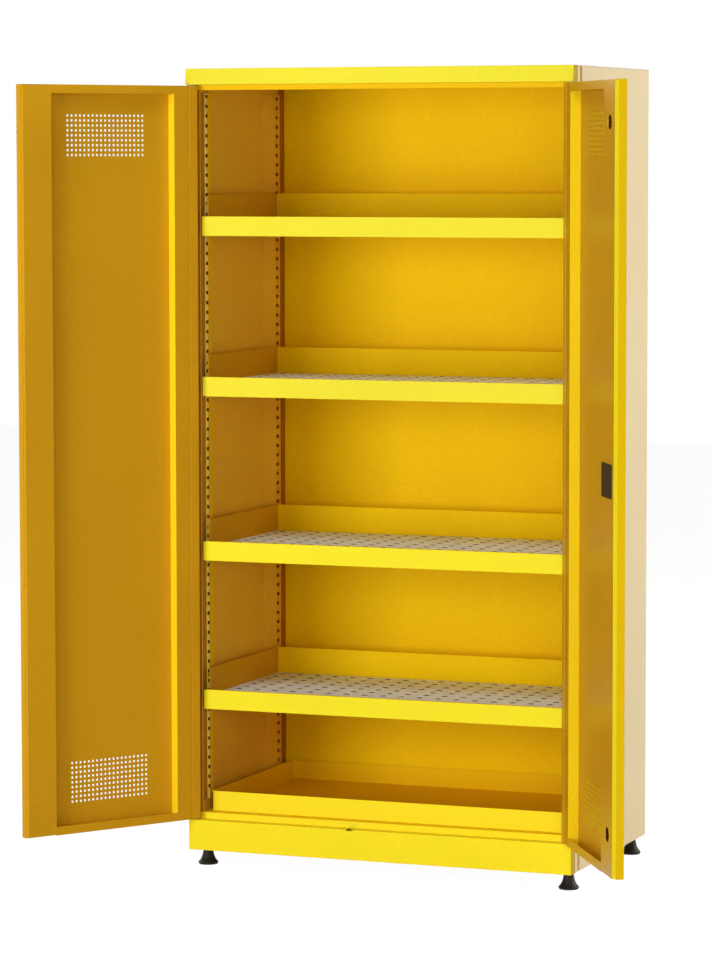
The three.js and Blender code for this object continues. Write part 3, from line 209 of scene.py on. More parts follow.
# One yellow paint in its own gold colour, with lit copies as painted light on the fronts and
# lit walls, and shaded copies as painted shade inside, in gaps and in the folds
# Painted light: lit copies of the yellow on the fronts, the lower fronts in warmer copies
LIT_LEMON = powder_paint("painted_light_lemon", (0.868, 0.745, 0.0256), grain=0.6, specular=0.08)
LIT_LOW_LEMON = powder_paint("painted_light_low_lemon", (0.925, 0.785, 0.016), grain=0.6, specular=0.07)
LIT_WARM_LEMON = powder_paint("painted_light_warm_lemon", (0.96, 0.76, 0.014), grain=0.6, specular=0.07)
GOLD = powder_paint("paint_gold", (0.93, 0.58, 0.004), specular=0.03)
# Painted light: lit copies on the walls, flanges and rims that face the light
LIT_BRIGHT = powder_paint("painted_light_bright", (0.98, 0.64, 0.003), specular=0.02)
LIT_SUN = powder_paint("painted_light_sun", (0.98, 0.70, 0.012), specular=0.04)
# Painted shade: darker copies of the yellow for the doors' inner faces and stiles, gaps, slots,
# hollows, end faces and the inner walls
SHADE_DEEP = powder_paint("painted_shade_deep", (0.715, 0.365, 0.011), specular=0.04)
SHADE_BRONZE = powder_paint("painted_shade_bronze", (0.535, 0.262, 0.011), rough=0.34, specular=0.28)
SHADE_BROWN = powder_paint("painted_shade_brown", (0.50, 0.25, 0.006), specular=0.1)
SHADE_UMBER = powder_paint("painted_shade_umber", (0.46, 0.16, 0.005), specular=0.04)
SHADE_OCHRE = powder_paint("painted_shade_ochre", (0.60, 0.39, 0.008), specular=0.04)
SHADED_LINER = powder_paint("painted_shade_liner", (0.88, 0.53, 0.045), specular=0.03)
# A painted highlight on the front faces of the front uprights
HIGHLIGHT_PALE = powder_paint("painted_highlight_pale", (0.94, 0.66, 0.13), specular=0.04)
# Painted shade of the beige, in the outer side walls' groove
SHADE_TAN = powder_paint("painted_shade_tan", (0.78, 0.52, 0.22), specular=0.06)

# The other finishes
BEIGE = powder_paint("paint_beige", (0.82, 0.655, 0.385), rough=0.46)
# Painted light: a brightened, bluer zinc for the inserts' tops, against the plainer zinc of
# their flanges
LIT_ZINC = galvanised("galvanised_painted_light", (0.74, 0.86, 0.96), (0.90, 0.98, 1.0))
FLANGE_ZINC = galvanised("galvanised_flange", (0.48, 0.50, 0.52), (0.62, 0.64, 0.65))
STEEL = plated("plated_steel")
# Painted shade: near black for the dark inside the inserts' round holes
SHADE = moulded("painted_shade_hole_edge", (0.030, 0.018, 0.008), rough=0.6)
BLACK = moulded("black_plastic", (0.013, 0.011, 0.008), specular=0.2)
NYLON = moulded("nylon", (0.66, 0.63, 0.56), rough=0.45)
FINISH = {
    "yellow": GOLD,
    "beige": BEIGE,
    "galvanised": LIT_ZINC,
    "steel": STEEL,
    "black": BLACK,
    "nylon": NYLON,
}
SLOT_OF = {s["node"]: s["material_slot"] for s in frame["record"]["subparts"]}
BODIES = frame["record"]["behaviour"]["bodies"]
BODY_OF = {n: body for body, nodes in BODIES.items() for n in nodes}


# Mesh tools
def link(name, mesh):
    made = bpy.data.objects.new(name, mesh)
    scene.collection.objects.link(made)
    return made


def tidy(bm):
    """Welds the corners and takes out the edges within flat faces."""
    flat = math.radians(0.5)
    bmesh.ops.remove_doubles(bm, verts=bm.verts, dist=WELD)
    bmesh.ops.dissolve_limit(bm, angle_limit=flat, verts=bm.verts, edges=bm.edges)
    bmesh.ops.recalc_face_normals(bm, faces=bm.faces)


def soften(bm, width, keep=None, angle=28.0):
    """Rounds the sharp edges, apart from those that keep refuses."""
    sharp = [
        e
        for e in bm.edges
        if len(e.link_faces) == 2
        and e.calc_face_angle(0) > math.radians(angle)
        and (keep is None or keep(e))
    ]
    bmesh.ops.bevel(
        bm,
        geom=sharp,
        offset=width,
        offset_type="OFFSET",
        segments=2,
        profile=0.6,
        affect="EDGES",
        clamp_overlap=True,
    )
    for face in bm.faces:
        face.smooth = True


def finish_mesh(made, mat):
    """Gives an object its finish and even shading across its rounded edges."""
    made.data.materials.clear()
    made.data.materials.append(mat)
    weighted = made.modifiers.new("even_normals", "WEIGHTED_NORMAL")
    weighted.keep_sharp = True
    weighted.weight = 80


def paint_front(made, limit, mat):
    """The faces in front of a limit in Y get a finish of their own, here a lit copy of the
    paint as painted light.
    """
    made.data.materials.append(mat)
    for face in made.data.polygons:
        if face.center.y < limit:
            face.material_index = len(made.data.materials) - 1


def paint_side(made, direction, mat, least=0.5):
    """The faces that look in a direction get a finish of their own, here lit copies of the
    paint as painted light and shaded copies as painted shade.
    """
    made.data.materials.append(mat)
    aim = Vector(direction)
    for face in made.data.polygons:
        if face.normal.dot(aim) > least:
            face.material_index = len(made.data.materials) - 1


def paint_zone(made, planes, test, mat):
    """The faces that pass a test get a finish of their own, after cuts at some depths in Y;
    mostly shaded and lit copies of a paint, as painted shade and light.
    """
    bm = bmesh.new()
    bm.from_mesh(made.data)
    for depth in planes:
        geom = bm.verts[:] + bm.edges[:] + bm.faces[:]
        bmesh.ops.bisect_plane(
            bm, geom=geom, dist=WELD / 2, plane_co=(0, depth, 0), plane_no=(0, 1, 0)
        )
    bm.to_mesh(made.data)
    bm.free()
    made.data.materials.append(mat)
    for face in made.data.polygons:
        if test(face):
            face.material_index = len(made.data.materials) - 1


def outer_fold(bm):
    """Whether an edge is one of the long folds on the very outside of a front piece."""
    wide = max(v.co.x for v in bm.verts)
    front = min(v.co.y for v in bm.verts)

    def test(edge):
        return all(abs(abs(v.co.x) - wide) < SEAM and v.co.y < front + SEAM for v in edge.verts)

    return test


def dressed(name, width=0.45 * MM, mat=None, fold=0.0):
    """A piece with the shape of a solid and with rounded edges, in place of that solid."""
    bm = bmesh.new()
    bm.from_mesh(frame["nodes"][name].data)
    tidy(bm)
    if fold:
        soften(bm, fold, outer_fold(bm))
    soften(bm, width)
    mesh = bpy.data.meshes.new("dressed_" + name)
    bm.to_mesh(mesh)
    bm.free()
    made = link("dressed_" + name, mesh)
    finish_mesh(made, mat or FINISH[SLOT_OF[name]])
    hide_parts(name)
    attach(made, BODY_OF[name])
    return made


BOX_FACES = (
    (0, 1, 3, 2),
    (4, 6, 7, 5),
    (0, 4, 5, 1),
    (2, 3, 7, 6),
    (0, 2, 6, 4),
    (1, 5, 7, 3),
)


def box_into(bm, low, high):
    """A box between two corners."""
    (x0, y0, z0), (x1, y1, z1) = low, high
    corners = [Vector((x, y, z)) for x in (x0, x1) for y in (y0, y1) for z in (z0, z1)]
    v = [bm.verts.new(c) for c in corners]
    for quad in BOX_FACES:
        bm.faces.new([v[i] for i in quad])


def rod_into(bm, radius, low, high, centre, steps=16):
    """An upright round bar about a centre in X and Y."""
    rings = []
    for z in (low, high):
        ring = []
        for i in range(steps):
            a = 2 * math.pi * i / steps
            x = centre[0] + radius * math.cos(a)
            y = centre[1] + radius * math.sin(a)
            ring.append(bm.verts.new((x, y, z)))
        rings.append(ring)
    bm.faces.new(rings[0][::-1])
    bm.faces.new(rings[1])
    for i in range(steps):
        j = (i + 1) % steps
        bm.faces.new((rings[0][i], rings[0][j], rings[1][j], rings[1][i]))


def mesh_of(boxes=(), rods=()):
    """One mesh of boxes and upright round bars."""
    bm = bmesh.new()
    for low, high in boxes:
        box_into(bm, low, high)
    for rod in rods:
        rod_into(bm, *rod)
    bmesh.ops.recalc_face_normals(bm, faces=bm.faces)
    mesh = bpy.data.meshes.new("tool")
    bm.to_mesh(mesh)
    bm.free()
    return mesh


def carve(mesh, cutter):
    """One mesh without what lies in the other."""
    body = link("carve_body", mesh)
    tool = link("carve_tool", cutter)
    change = body.modifiers.new("carve", "BOOLEAN")
    change.operation = "DIFFERENCE"
    change.solver = "EXACT"
    change.object = tool
    depsgraph = bpy.context.evaluated_depsgraph_get()
    result = bpy.data.meshes.new_from_object(body.evaluated_get(depsgraph))
    bpy.data.objects.remove(body)
    bpy.data.objects.remove(tool)
    return result


def prism(outline, low, high):
    """An outline in X and Y between two heights."""
    bm = bmesh.new()
    rings = [[bm.verts.new((x, y, z)) for x, y in outline] for z in (low, high)]
    bm.faces.new(rings[0][::-1])
    bm.faces.new(rings[1])
    for i in range(len(outline)):
        j = (i + 1) % len(outline)
        bm.faces.new((rings[0][i], rings[0][j], rings[1][j], rings[1][i]))
    bmesh.ops.recalc_face_normals(bm, faces=bm.faces)
    mesh = bpy.data.meshes.new("prism")
    bm.to_mesh(mesh)
    bm.free()
    return mesh


def folded(path, thickness):
    """The outline of a folded sheet whose thickness lies to the left of the path."""
    points = [Vector(p) for p in path]
    other = []
    for i, p in enumerate(points):
        before = (p - points[i - 1]).normalized() if i else None
        after = (points[i + 1] - p).normalized() if i < len(points) - 1 else None
        first, second = before or after, after or before
        side = Vector((-first.y - second.y, first.x + second.x)).normalized()
        reach = thickness / (side.x * -first.y + side.y * first.x)
        other.append(p + side * reach)
    return [tuple(p) for p in points] + [tuple(p) for p in reversed(other)]


def mirror_mesh(mesh):
    """Turns a piece of the right side into one of the left side."""
    bm = bmesh.new()
    bm.from_mesh(mesh)
    bmesh.ops.scale(bm, vec=(-1, 1, 1), verts=bm.verts)
    bmesh.ops.reverse_faces(bm, faces=bm.faces)
    bm.to_mesh(mesh)
    bm.free()
    return mesh


def centred(count, pitch, middle):
    """Evenly spaced places about a middle."""
    return [middle + (i - (count - 1) / 2) * pitch for i in range(count)]


# Doors: U runs from the hinge edge to the free edge, and V from the front to the back
def across(u):
    return PIVOT_U - u


def inward(v):
    return v - PIVOT_V


def door_box(u, v, z):
    """A box in a closed door's own frame, from its ranges of U, V and height."""
    return (across(u[1]), inward(v[0]), z[0]), (across(u[0]), inward(v[1]), z[1])


def door_turn(side):
    """From the closed door's own frame, with the pivot as its origin, to the open door."""
    sign = -1 if side == "left" else 1
    place = Matrix.Translation((sign * PIVOT_X, PIVOT_Y, 0))
    return place @ Matrix.Rotation(DOOR_ANGLES[side], 4, "Z")


# Painted shade on the doors' inner faces, darker on the right door
INNER_PAINTED_SHADE = {"left": SHADE_DEEP, "right": SHADE_BRONZE}
HINGE_FLANGE = 23 * MM
HINGE_STILE = 68 * MM
END_FLANGE = 21 * MM
FREE_STILE_V = 19 * MM
PIVOT_BORE = 6.25 * MM
ROD_OFFSET = 14.51 * MM
ROD_EXIT_HALF = 8.75 * MM
ROD_EXIT_V = (9.75 * MM, 14.25 * MM)
VENT_PITCH = 12 * MM
VENT_HOLE = 5.4 * MM
VENT_COLUMNS = 19
VENT_ROWS = 9
VENT_LEVELS = (DOOR_BOTTOM + 122.5 * MM, DOOR_TOP - 122.5 * MM)
VENT_FIELD_HALF = (VENT_COLUMNS / 2 * VENT_PITCH + 2 * MM, 60 * MM)
DOOR_ROUNDING = 0.6 * MM
DOOR_FOLD_ANGLE = 60.0


def in_vents(middle):
    """Whether a place in a closed door's own frame lies in one of the vent fields."""
    near = abs(middle.x - across(DOOR_WIDTH / 2)) < VENT_FIELD_HALF[0]
    return near and any(abs(middle.z - level) < VENT_FIELD_HALF[1] for level in VENT_LEVELS)


def off_vents(edge):
    return not in_vents((edge.verts[0].co + edge.verts[1].co) / 2)


def door_mesh(side, stile_width):
    """The outer pan of a closed door, open behind the stiles, with all its holes."""
    mesh = mesh_of([door_box((0, DOOR_WIDTH), (0, DOOR_DEPTH), (DOOR_BOTTOM, DOOR_TOP))])
    within = (DOOR_BOTTOM + SHEET, DOOR_TOP - SHEET)
    behind = (DOOR_DEPTH / 2, DOOR_DEPTH + OVER)
    hollow = door_box((SHEET, DOOR_WIDTH - SHEET), (SHEET, DOOR_DEPTH - SHEET), within)
    mouth = door_box(
        (HINGE_FLANGE, DOOR_WIDTH - SHEET),
        behind,
        (DOOR_BOTTOM + END_FLANGE, DOOR_TOP - END_FLANGE),
    )
    hinge_seat = door_box((HINGE_FLANGE, HINGE_STILE + SEAM), behind, within)
    free_seat = door_box(
        (DOOR_WIDTH - stile_width - SEAM, DOOR_WIDTH + OVER),
        (FREE_STILE_V, DOOR_DEPTH + OVER),
        (DOOR_BOTTOM - OVER, DOOR_TOP + OVER),
    )
    for tool in (hollow, mouth, hinge_seat, free_seat):
        mesh = carve(mesh, mesh_of([tool]))
    ends = (DOOR_BOTTOM, DOOR_TOP)
    bores = [(PIVOT_BORE, end - OVER, end + OVER, (0, 0), 24) for end in ends]
    mesh = carve(mesh, mesh_of(rods=bores))
    if side == "right":
        exits = []
        for sign, end in ((1, DOOR_TOP), (-1, DOOR_BOTTOM)):
            u = LOCK_U + sign * ROD_OFFSET
            width = (u - ROD_EXIT_HALF, u + ROD_EXIT_HALF)
            exits.append(door_box(width, ROD_EXIT_V, (end - OVER, end + OVER)))
        mesh = carve(mesh, mesh_of(exits))
    h = VENT_HOLE / 2
    holes = [
        door_box((u - h, u + h), (-OVER, OVER), (z - h, z + h))
        for level in VENT_LEVELS
        for u in centred(VENT_COLUMNS, VENT_PITCH, DOOR_WIDTH / 2)
        for z in centred(VENT_ROWS, VENT_PITCH, level)
    ]
    return carve(mesh, mesh_of(holes))


def door_pan(side, stile_width):
    """The perforated outer pan with every hole of its two vent fields."""
    mesh = door_mesh(side, stile_width)
    bm = bmesh.new()
    bm.from_mesh(mesh)
    bmesh.ops.remove_doubles(bm, verts=bm.verts, dist=WELD)
    soften(bm, DOOR_ROUNDING, off_vents, DOOR_FOLD_ANGLE)
    bm.to_mesh(mesh)
    bm.free()
    rims = [f.index for f in mesh.polygons if abs(f.normal.y) < EDGE_ON and in_vents(f.center)]
    if side == "left":
        mirror_mesh(mesh)
    mesh.transform(door_turn(side))
    made = link("door_skin_" + side, mesh)
    finish_mesh(made, GOLD)
    turn = door_turn(side).to_3x3()
    into = turn @ Vector((0, 1, 0))
    # Painted shade on the inner face, and painted light on the outer face
    paint_side(made, into, INNER_PAINTED_SHADE[side])
    paint_side(made, -into, LIT_LEMON)
    # Painted shade on the left door's free edge wall
    if side == "left":
        paint_side(made, turn @ Vector((1, 0, 0)), SHADE_DEEP, FACING)
    # Painted light on the rims of the vent holes
    made.data.materials.append(LIT_SUN)
    for index in rims:
        made.data.polygons[index].material_index = len(made.data.materials) - 1
    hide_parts("door_pan_" + side)
    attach(made, "door_" + side)


door_pan("left", 82 * MM)
door_pan("right", 107 * MM)


# Uprights
SLOT_PITCH = 24.445 * MM
SLOT_COUNT = 72
SLOT_HALF = 4.4 * MM
DOT_HALF = 2.1 * MM
TOP_SLOT = 1887.2 * MM
HOOK_LEVELS = [1620.5 * MM, 1220.5 * MM, 808 * MM, 433 * MM]
RIDGE_FACE = 478 * MM
UPRIGHT_ENDS = (120 * MM, 1896 * MM)
BACK_RAMP = 6 * MM
BACK_FLANGE = 6 * MM
UPRIGHTS = {
    "upright_front": {
        "paint": GOLD,
        "ridge": (-235 * MM, -209 * MM),
        "ramp": 1.5 * MM,
        "flange": 26 * MM,
        "slot": (-241 * MM, -227 * MM),
        "slot_reach": 482.2 * MM,
        "dot": -231 * MM,
    },
    "upright_rear": {
        # The rear uprights in the shaded copy of the paint, as painted shade
        "paint": SHADED_LINER,
        "ridge": (213 * MM, 242 * MM),
        "ramp": 63 * MM,
        "flange": 6 * MM,
        "slot": (213.5 * MM, 234 * MM),
        "slot_reach": 484.5 * MM,
        "dot": 226 * MM,
    },
}
FRONT_FLANGE_Y = -237 * MM


def clear_of_hooks(z, gap):
    return min(abs(z - hook) for hook in HOOK_LEVELS) > gap


def slot_rows():
    """The levels of the slots: a close row, and the ones that the shelves hook into."""
    row = [TOP_SLOT - i * SLOT_PITCH for i in range(SLOT_COUNT)]
    return [z for z in row if clear_of_hooks(z, 10 * MM)] + HOOK_LEVELS


def dot_rows():
    """The levels of the small marks, halfway between the slots."""
    row = [TOP_SLOT - (i + 0.5) * SLOT_PITCH for i in range(SLOT_COUNT - 1)]
    return [z for z in row if clear_of_hooks(z, 8 * MM)]


def on_front_flange(face):
    return abs(face.normal.x) > FACING and face.center.y < FRONT_FLANGE_Y


def slotted_upright(name, side):
    """An upright with its full row of slots."""
    shape = UPRIGHTS[name]
    foot = LINER_FACE - SEAM - SHEET
    front, back = shape["ridge"]
    ramp_end = front - shape["ramp"]
    path = [
        (foot, back + BACK_RAMP + BACK_FLANGE),
        (foot, back + BACK_RAMP),
        (RIDGE_FACE, back),
        (RIDGE_FACE, front),
        (foot, ramp_end),
        (foot, ramp_end - shape["flange"]),
    ]
    mesh = prism(folded(path, SHEET), *UPRIGHT_ENDS)
    start = RIDGE_FACE - OVER
    (near, far), reach, dot = shape["slot"], shape["slot_reach"], shape["dot"]
    cuts = [((start, near, z - SLOT_HALF), (reach, far, z + SLOT_HALF)) for z in slot_rows()]
    for z in dot_rows():
        low = (start, dot - DOT_HALF, z - DOT_HALF)
        cuts.append((low, (foot - SEAM, dot + DOT_HALF, z + DOT_HALF)))
    mesh = carve(mesh, mesh_of(cuts))
    bm = bmesh.new()
    bm.from_mesh(mesh)
    bmesh.ops.remove_doubles(bm, verts=bm.verts, dist=WELD)
    for face in bm.faces:
        face.smooth = False
    bm.to_mesh(mesh)
    bm.free()
    if side == "left":
        mirror_mesh(mesh)
    made = link("slotted_" + name + "_" + side, mesh)
    finish_mesh(made, shape["paint"])
    # A painted highlight on the front uprights' front faces
    if name == "upright_front":
        paint_side(made, (0, -1, 0), HIGHLIGHT_PALE, FACING)
    # Painted shade on the front uprights' front flange, beside the door gap
    paint_zone(made, (), on_front_flange, SHADE_BROWN)
    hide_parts(name + "_" + side)
    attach(made, "cabinet")


SHADE_STRIP_FACES = (485.7 * MM, 485.95 * MM)
SHADE_STRIP_ENDS = (121 * MM, 1895 * MM)


def slot_shade_strip(name, depth, side):
    """A thin dark strip behind the slots, painted shade that shows through them as the dark of
    the hollow.
    """
    sign = -1 if side == "left" else 1
    xs = sorted(sign * x for x in SHADE_STRIP_FACES)
    low, high = ((xs[i], depth[i], SHADE_STRIP_ENDS[i]) for i in (0, 1))
    strip = link(f"shade_strip_{name}_{side}", mesh_of([(low, high)]))
    finish_mesh(strip, SHADE_UMBER)
    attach(strip, "cabinet")


for hand in ("left", "right"):
    slotted_upright("upright_front", hand)
    slotted_upright("upright_rear", hand)
    slot_shade_strip("front", (-234 * MM, -205 * MM), hand)
    slot_shade_strip("rear", (200 * MM, 244 * MM), hand)


# Inserts
GRID_PITCH = 49 * MM
GRID_COLUMNS = 19
GRID_ROWS = 9
GRID_HOLE = 8 * MM
INSERT_HALF = 466.5 * MM
INSERT_FRONT = -262 * MM
INSERT_BACK = 196 * MM
INSERT_DROP = 14 * MM
TRAY_DEPTH = 48.5 * MM
NOTCH_HALF = 19.5 * MM
NOTCH_DEPTH = 5 * MM
HOLE_FIELD = (460 * MM, -255 * MM, 189 * MM)
SIDE_FLANGE_X = 465 * MM
FRONT_FLANGE_END = -260 * MM


def insert_mesh(lip_top):
    """A sheet with folded edges, round holes and notches along its back fold."""
    low, high = lip_top - TRAY_DEPTH + SHEET + SEAM, lip_top - INSERT_DROP
    mesh = mesh_of([((-INSERT_HALF, INSERT_FRONT, low), (INSERT_HALF, INSERT_BACK, high))])
    inside = (
        (-INSERT_HALF + SHEET, INSERT_FRONT + SHEET, low - OVER),
        (INSERT_HALF - SHEET, INSERT_BACK - SHEET, high - SHEET),
    )
    mesh = carve(mesh, mesh_of([inside]))
    rods = [
        (GRID_HOLE, high - OVER, high + OVER, (x, y), 16)
        for x in centred(GRID_COLUMNS, GRID_PITCH, 0)
        for y in centred(GRID_ROWS, GRID_PITCH, (INSERT_FRONT + INSERT_BACK) / 2)
    ]
    mesh = carve(mesh, mesh_of(rods=rods))
    start = (INSERT_BACK - NOTCH_DEPTH, high - NOTCH_DEPTH)
    end = (INSERT_BACK + OVER, high + OVER)
    notches = [
        ((x - NOTCH_HALF, *start), (x + NOTCH_HALF, *end))
        for x in centred(GRID_COLUMNS - 1, GRID_PITCH, 0)
    ]
    return carve(mesh, mesh_of(notches))


def paint_holes(sheet, top):
    """The cut edge in every round hole is bare steel, painted near black as painted shade for
    the dark inside the hole.
    """
    wide, front, back = HOLE_FIELD
    sheet.data.materials.append(SHADE)
    for face in sheet.data.polygons:
        x, y, z = face.center
        inside = abs(x) < wide and front < y < back
        if inside and top - SHEET < z < top and abs(face.normal.z) < EDGE_ON:
            face.material_index = 1


def on_flange(face):
    """Whether a face belongs to an insert's front flange or one of its side flanges."""
    reached = face.center.y < FRONT_FLANGE_END or abs(face.center.x) > SIDE_FLANGE_X
    return abs(face.normal.z) < EDGE_ON and reached


for index, lip in enumerate(LIP_TOPS):
    sheet = link(f"perforated_insert_{index + 1}", insert_mesh(lip))
    # Painted light on the top in the brightened zinc, the flanges in the plainer zinc
    finish_mesh(sheet, LIT_ZINC)
    paint_holes(sheet, lip - INSERT_DROP)
    paint_zone(sheet, (), on_flange, FLANGE_ZINC)
    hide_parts(f"shelf_grid_{index + 1}")
    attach(sheet, f"grid_{index + 1}")


# The other pieces keep their shape
MADE = {"door_pan_left", "door_pan_right"} | {f"shelf_grid_{i}" for i in range(1, 5)}
MADE |= {f"upright_{p}_{s}" for p in ("front", "rear") for s in ("left", "right")}
FOLDED_FRONTS = {"fascia", "plinth"}
FOLD_ROUNDING = 2 * MM
# Painted light on the fascia, and painted shade on the side linings and the door stiles
PIECE_LIGHT_AND_SHADE = {
    "fascia": LIT_LEMON,
    "side_liner_left": SHADED_LINER,
    "side_liner_right": SHADED_LINER,
    "hinge_stile_left": SHADE_DEEP,
    "free_stile_left": SHADE_DEEP,
    "hinge_stile_right": SHADE_BROWN,
    "lock_stile": SHADE_BRONZE,
}
# Painted light on each stile's wall that looks away from the hinge, and painted shade on that
# wall of the left door's free stile
STILE_WALLS = {
    "hinge_stile_left": ("left", LIT_SUN),
    "free_stile_left": ("left", SHADE_DEEP),
    "hinge_stile_right": ("right", LIT_SUN),
    "lock_stile": ("right", LIT_WARM_LEMON),
}
# Painted light on the fronts: the lit copy of the paint for each front, and how far back in Y
# it reaches
LIP_Y = -269.5 * MM
FRONT_LIGHT = {
    "shelf_tray_1": (LIP_Y, LIT_LEMON),
    "shelf_tray_2": (LIP_Y, LIT_LEMON),
    "shelf_tray_3": (LIP_Y, LIT_LOW_LEMON),
    "shelf_tray_4": (LIP_Y, LIT_LOW_LEMON),
    "plinth": (-200 * MM, LIT_WARM_LEMON),
    "sump_tray": (-246.5 * MM, LIT_WARM_LEMON),
    "sill_rail": (-278.5 * MM, LIT_WARM_LEMON),
}
LINER_SHADE = (-262 * MM, 250 * MM, 300 * MM)
LINER_INSIDE = LINER_FACE + 0.1 * MM
GROOVE_X = (500.9 * MM, 504.9 * MM)
GROOVE_Y = (-275 * MM, -235 * MM)
LOCK_STILE_MIDDLE = (DOOR_WIDTH - 53.5 * MM, 14 * MM)
LOCK_STILE_HALF = (52.2 * MM, 12.7 * MM)


def on_lining(face):
    """Whether a face is the side of the lining that the cabinet's inside shows."""
    return abs(face.center.x) < LINER_INSIDE and abs(face.normal.x) > FACING


def in_shade(face):
    """Whether a face of the lining lies behind the rear upright."""
    return on_lining(face) and LINER_SHADE[1] < face.center.y < LINER_SHADE[2]


def by_hinge(face):
    """Whether a face of the lining lies beside the door's hinge edge."""
    return on_lining(face) and face.center.y < LINER_SHADE[0]


def in_groove(face):
    """Whether a face belongs to the upright groove of the outer side wall."""
    deep = GROOVE_X[0] < abs(face.center.x) < GROOVE_X[1]
    outward = face.center.x * face.normal.x > 0
    return deep and outward and GROOVE_Y[0] < face.center.y < GROOVE_Y[1]


def in_stile(face):
    """Whether a face looks into the hollow of the lock stile."""
    back = door_turn("right").inverted()
    middle_u, middle_v = LOCK_STILE_MIDDLE
    to_middle = Vector((across(middle_u), inward(middle_v))) - (back @ face.center).xy
    normal = (back.to_3x3() @ face.normal).xy
    half_u, half_v = LOCK_STILE_HALF
    reaches = abs(to_middle.x) < half_u and abs(to_middle.y) < half_v
    return reaches and to_middle.dot(normal) > 0 and normal.length > 0.5


def on_side_flange(face):
    return abs(face.normal.x) > FACING


def on_back_flange(face):
    """Whether a face of a tray's back flange looks to the front."""
    return face.normal.y < -FACING and face.center.y > 0


for name in sorted(frame["nodes"]):
    if name in MADE:
        continue
    fold = FOLD_ROUNDING if name in FOLDED_FRONTS else 0.0
    piece = dressed(name, mat=PIECE_LIGHT_AND_SHADE.get(name), fold=fold)
    if name in STILE_WALLS:
        hand, paint = STILE_WALLS[name]
        away = Vector((1 if hand == "left" else -1, 0, 0))
        paint_side(piece, door_turn(hand).to_3x3() @ away, paint, FACING)
    if name in FRONT_LIGHT:
        paint_front(piece, *FRONT_LIGHT[name])
    if name.startswith("shelf_tray"):
        # Painted shade on the side flanges, and painted light on the back flange's front face
        paint_zone(piece, (), on_side_flange, SHADE_DEEP)
        paint_zone(piece, (), on_back_flange, LIT_BRIGHT)
    if name == "back_liner":
        # Painted light on the back lining's front face
        paint_side(piece, (0, -1, 0), LIT_BRIGHT, FACING)
    if name in FOLDED_FRONTS:
        # Painted shade on the end faces of the fascia and the plinth
        paint_side(piece, (1, 0, 0), SHADE_OCHRE, FACING)
        paint_side(piece, (-1, 0, 0), SHADE_OCHRE, FACING)
    if name.startswith("side_liner"):
        # Painted shade on the lining behind the rear upright and beside the door's hinge edge
        paint_zone(piece, LINER_SHADE, in_shade, SHADE_UMBER)
        paint_zone(piece, (), by_hinge, SHADE_UMBER)
    if name.startswith("side_panel"):
        # Painted shade in the side wall's groove
        paint_zone(piece, (), in_groove, SHADE_TAN)
    if name == "lock_stile":
        # Painted shade inside the lock stile's hollow
        paint_zone(piece, (), in_stile, SHADE_UMBER)


# Floor, world and lamps
FLOOR_Z = -45.5 * MM
FLOOR_HALF = 14.0
FLOOR_GLOW = 1.16
FLOOR_WHITE = 0.83
SKY_LIGHT = 0.015


def white_for_camera(tree, keep):
    """How white a surface is: keep for the camera, a mirror or glass, and not at all else."""
    path = tree.nodes.new("ShaderNodeLightPath")
    first = node(tree, "ShaderNodeMath", operation="MAXIMUM")
    second = node(tree, "ShaderNodeMath", operation="MAXIMUM")
    share = node(tree, "ShaderNodeMath", operation="MULTIPLY")
    share.inputs[1].default_value = keep
    tree.links.new(path.outputs["Is Camera Ray"], first.inputs[0])
    tree.links.new(path.outputs["Is Glossy Ray"], first.inputs[1])
    tree.links.new(first.outputs[0], second.inputs[0])
    tree.links.new(path.outputs["Is Transmission Ray"], second.inputs[1])
    tree.links.new(second.outputs[0], share.inputs[0])
    return share.outputs[0]


def mixed_surface(tree, keep, plain, white, output):
    """A plain shader that turns white, by a share, where it is looked at."""
    out = tree.nodes.new(output)
    mix = tree.nodes.new("ShaderNodeMixShader")
    tree.links.new(white_for_camera(tree, keep), mix.inputs["Fac"])
    tree.links.new(plain.outputs[0], mix.inputs[1])
    tree.links.new(white.outputs[0], mix.inputs[2])
    tree.links.new(mix.outputs[0], out.inputs["Surface"])


floor_mesh = bpy.data.meshes.new("floor")
bm = bmesh.new()
bmesh.ops.create_grid(bm, x_segments=1, y_segments=1, size=FLOOR_HALF)
bm.to_mesh(floor_mesh)
bm.free()
floor = link("floor", floor_mesh)
floor.location.z = FLOOR_Z
floor_mat = bpy.data.materials.new("pale_floor")
floor_mat.use_nodes = True
tree = floor_mat.node_tree
tree.nodes.clear()
diffuse = node(tree, "ShaderNodeBsdfDiffuse", Color=(0.86, 0.86, 0.85, 1))
glow = node(tree, "ShaderNodeEmission", Color=(1, 1, 1, 1), Strength=FLOOR_GLOW)
mixed_surface(tree, FLOOR_WHITE, diffuse, glow, "ShaderNodeOutputMaterial")
floor.data.materials.append(floor_mat)

world = bpy.data.worlds.new("studio")
scene.world = world
world.use_nodes = True
tree = world.node_tree
tree.nodes.clear()
sky = node(tree, "ShaderNodeBackground", Color=(1.0, 0.985, 0.96, 1), Strength=SKY_LIGHT)
white = node(tree, "ShaderNodeBackground", Color=(1, 1, 1, 1), Strength=1.0)
mixed_surface(tree, 1.0, sky, white, "ShaderNodeOutputWorld")


def lamp(name, place, target, size, power, colour):
    data = bpy.data.lights.new(name, "AREA")
    data.shape = "RECTANGLE"
    data.size, data.size_y = size
    data.energy = power
    data.color = colour
    made = bpy.data.objects.new(name, data)
    scene.collection.objects.link(made)
    made.location = place
    aim = Vector(target) - Vector(place)
    made.rotation_euler = aim.to_track_quat("-Z", "Y").to_euler()


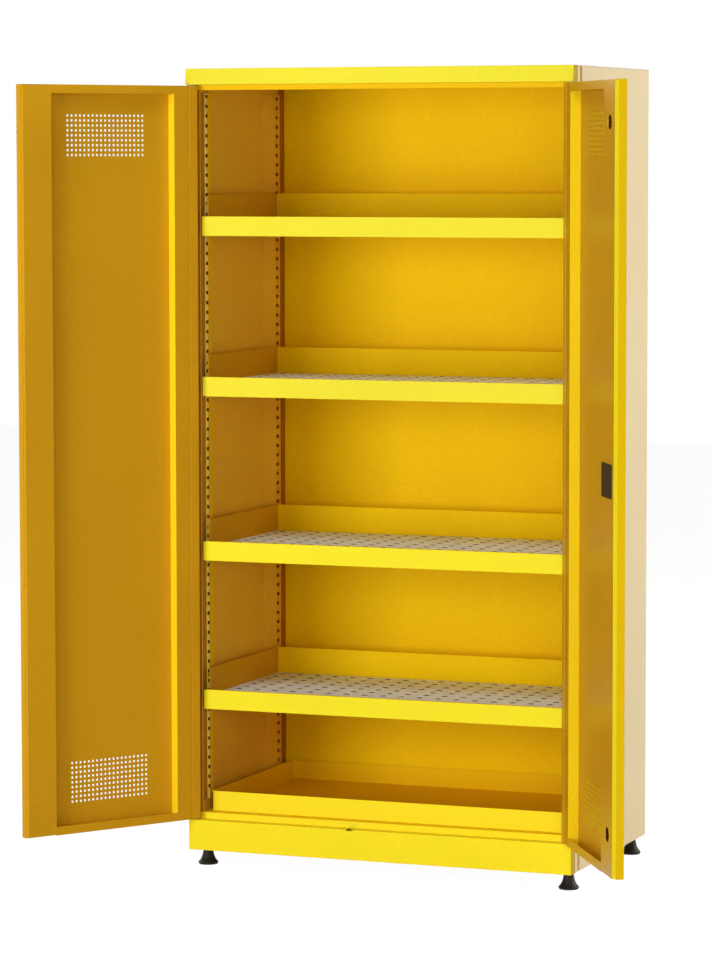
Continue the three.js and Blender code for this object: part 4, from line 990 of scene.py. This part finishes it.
# Name, place, aim, size, power in watts and colour of each lamp
LAMPS = [
    ("key", (-2.6, -7.0, 1.2), (0, 0, 1.0), (3.0, 3.0), 282, (1.0, 1.0, 0.99)),
    ("fill", (3.0, -7.0, 1.6), (0, 0, 1.0), (3.0, 3.0), 114, (1.0, 1.0, 0.99)),
    ("high", (-0.3, -4.2, 5.4), (0, 0, 0.9), (2.4, 1.6), 96, (0.85, 0.95, 1.0)),
    ("side", (5.2, 3.2, 2.6), (0.5, 0, 1.0), (2.6, 2.6), 258, (1.0, 0.99, 0.97)),
    ("left", (-5.0, 3.6, 2.4), (-0.5, 0, 1.0), (2.4, 2.4), 105, (1.0, 0.99, 0.97)),
    ("top", (0, 0.5, 4.6), (0, 0, 1.0), (3.0, 2.4), 40, (1, 1, 1)),
]
for values in LAMPS:
    lamp(*values)

scene.view_settings.view_transform = "Standard"


# Camera
CAMERA_PLACE = (3.37248, -9.1316, 1.73916)
CAMERA_AZIMUTH = 21.22
CAMERA_ELEVATION = 4.79
CAMERA_ROLL = -0.08
CAMERA_LENS = 145.06
SENSOR_HEIGHT = 36.0


def camera_matrix(azimuth, elevation, roll, place):
    """A camera's place and direction, with its angles in degrees."""
    a, e, r = (math.radians(v) for v in (azimuth, elevation, roll))
    forward = Vector((-math.sin(a) * math.cos(e), math.cos(a) * math.cos(e), -math.sin(e)))
    right = forward.cross(Vector((0, 0, 1))).normalized()
    up = right.cross(forward)
    turned_right = right * math.cos(r) + up * math.sin(r)
    turned_up = -right * math.sin(r) + up * math.cos(r)
    matrix = Matrix((turned_right, turned_up, -forward)).transposed().to_4x4()
    matrix.translation = Vector(place)
    return matrix


lens = bpy.data.cameras.new("photo_camera")
lens.sensor_fit = "VERTICAL"
lens.sensor_height = SENSOR_HEIGHT
lens.lens = CAMERA_LENS
lens.clip_end = 100.0
camera = bpy.data.objects.new("photo_camera", lens)
scene.collection.objects.link(camera)
camera.matrix_world = camera_matrix(CAMERA_AZIMUTH, CAMERA_ELEVATION, CAMERA_ROLL, CAMERA_PLACE)
scene.camera = camera
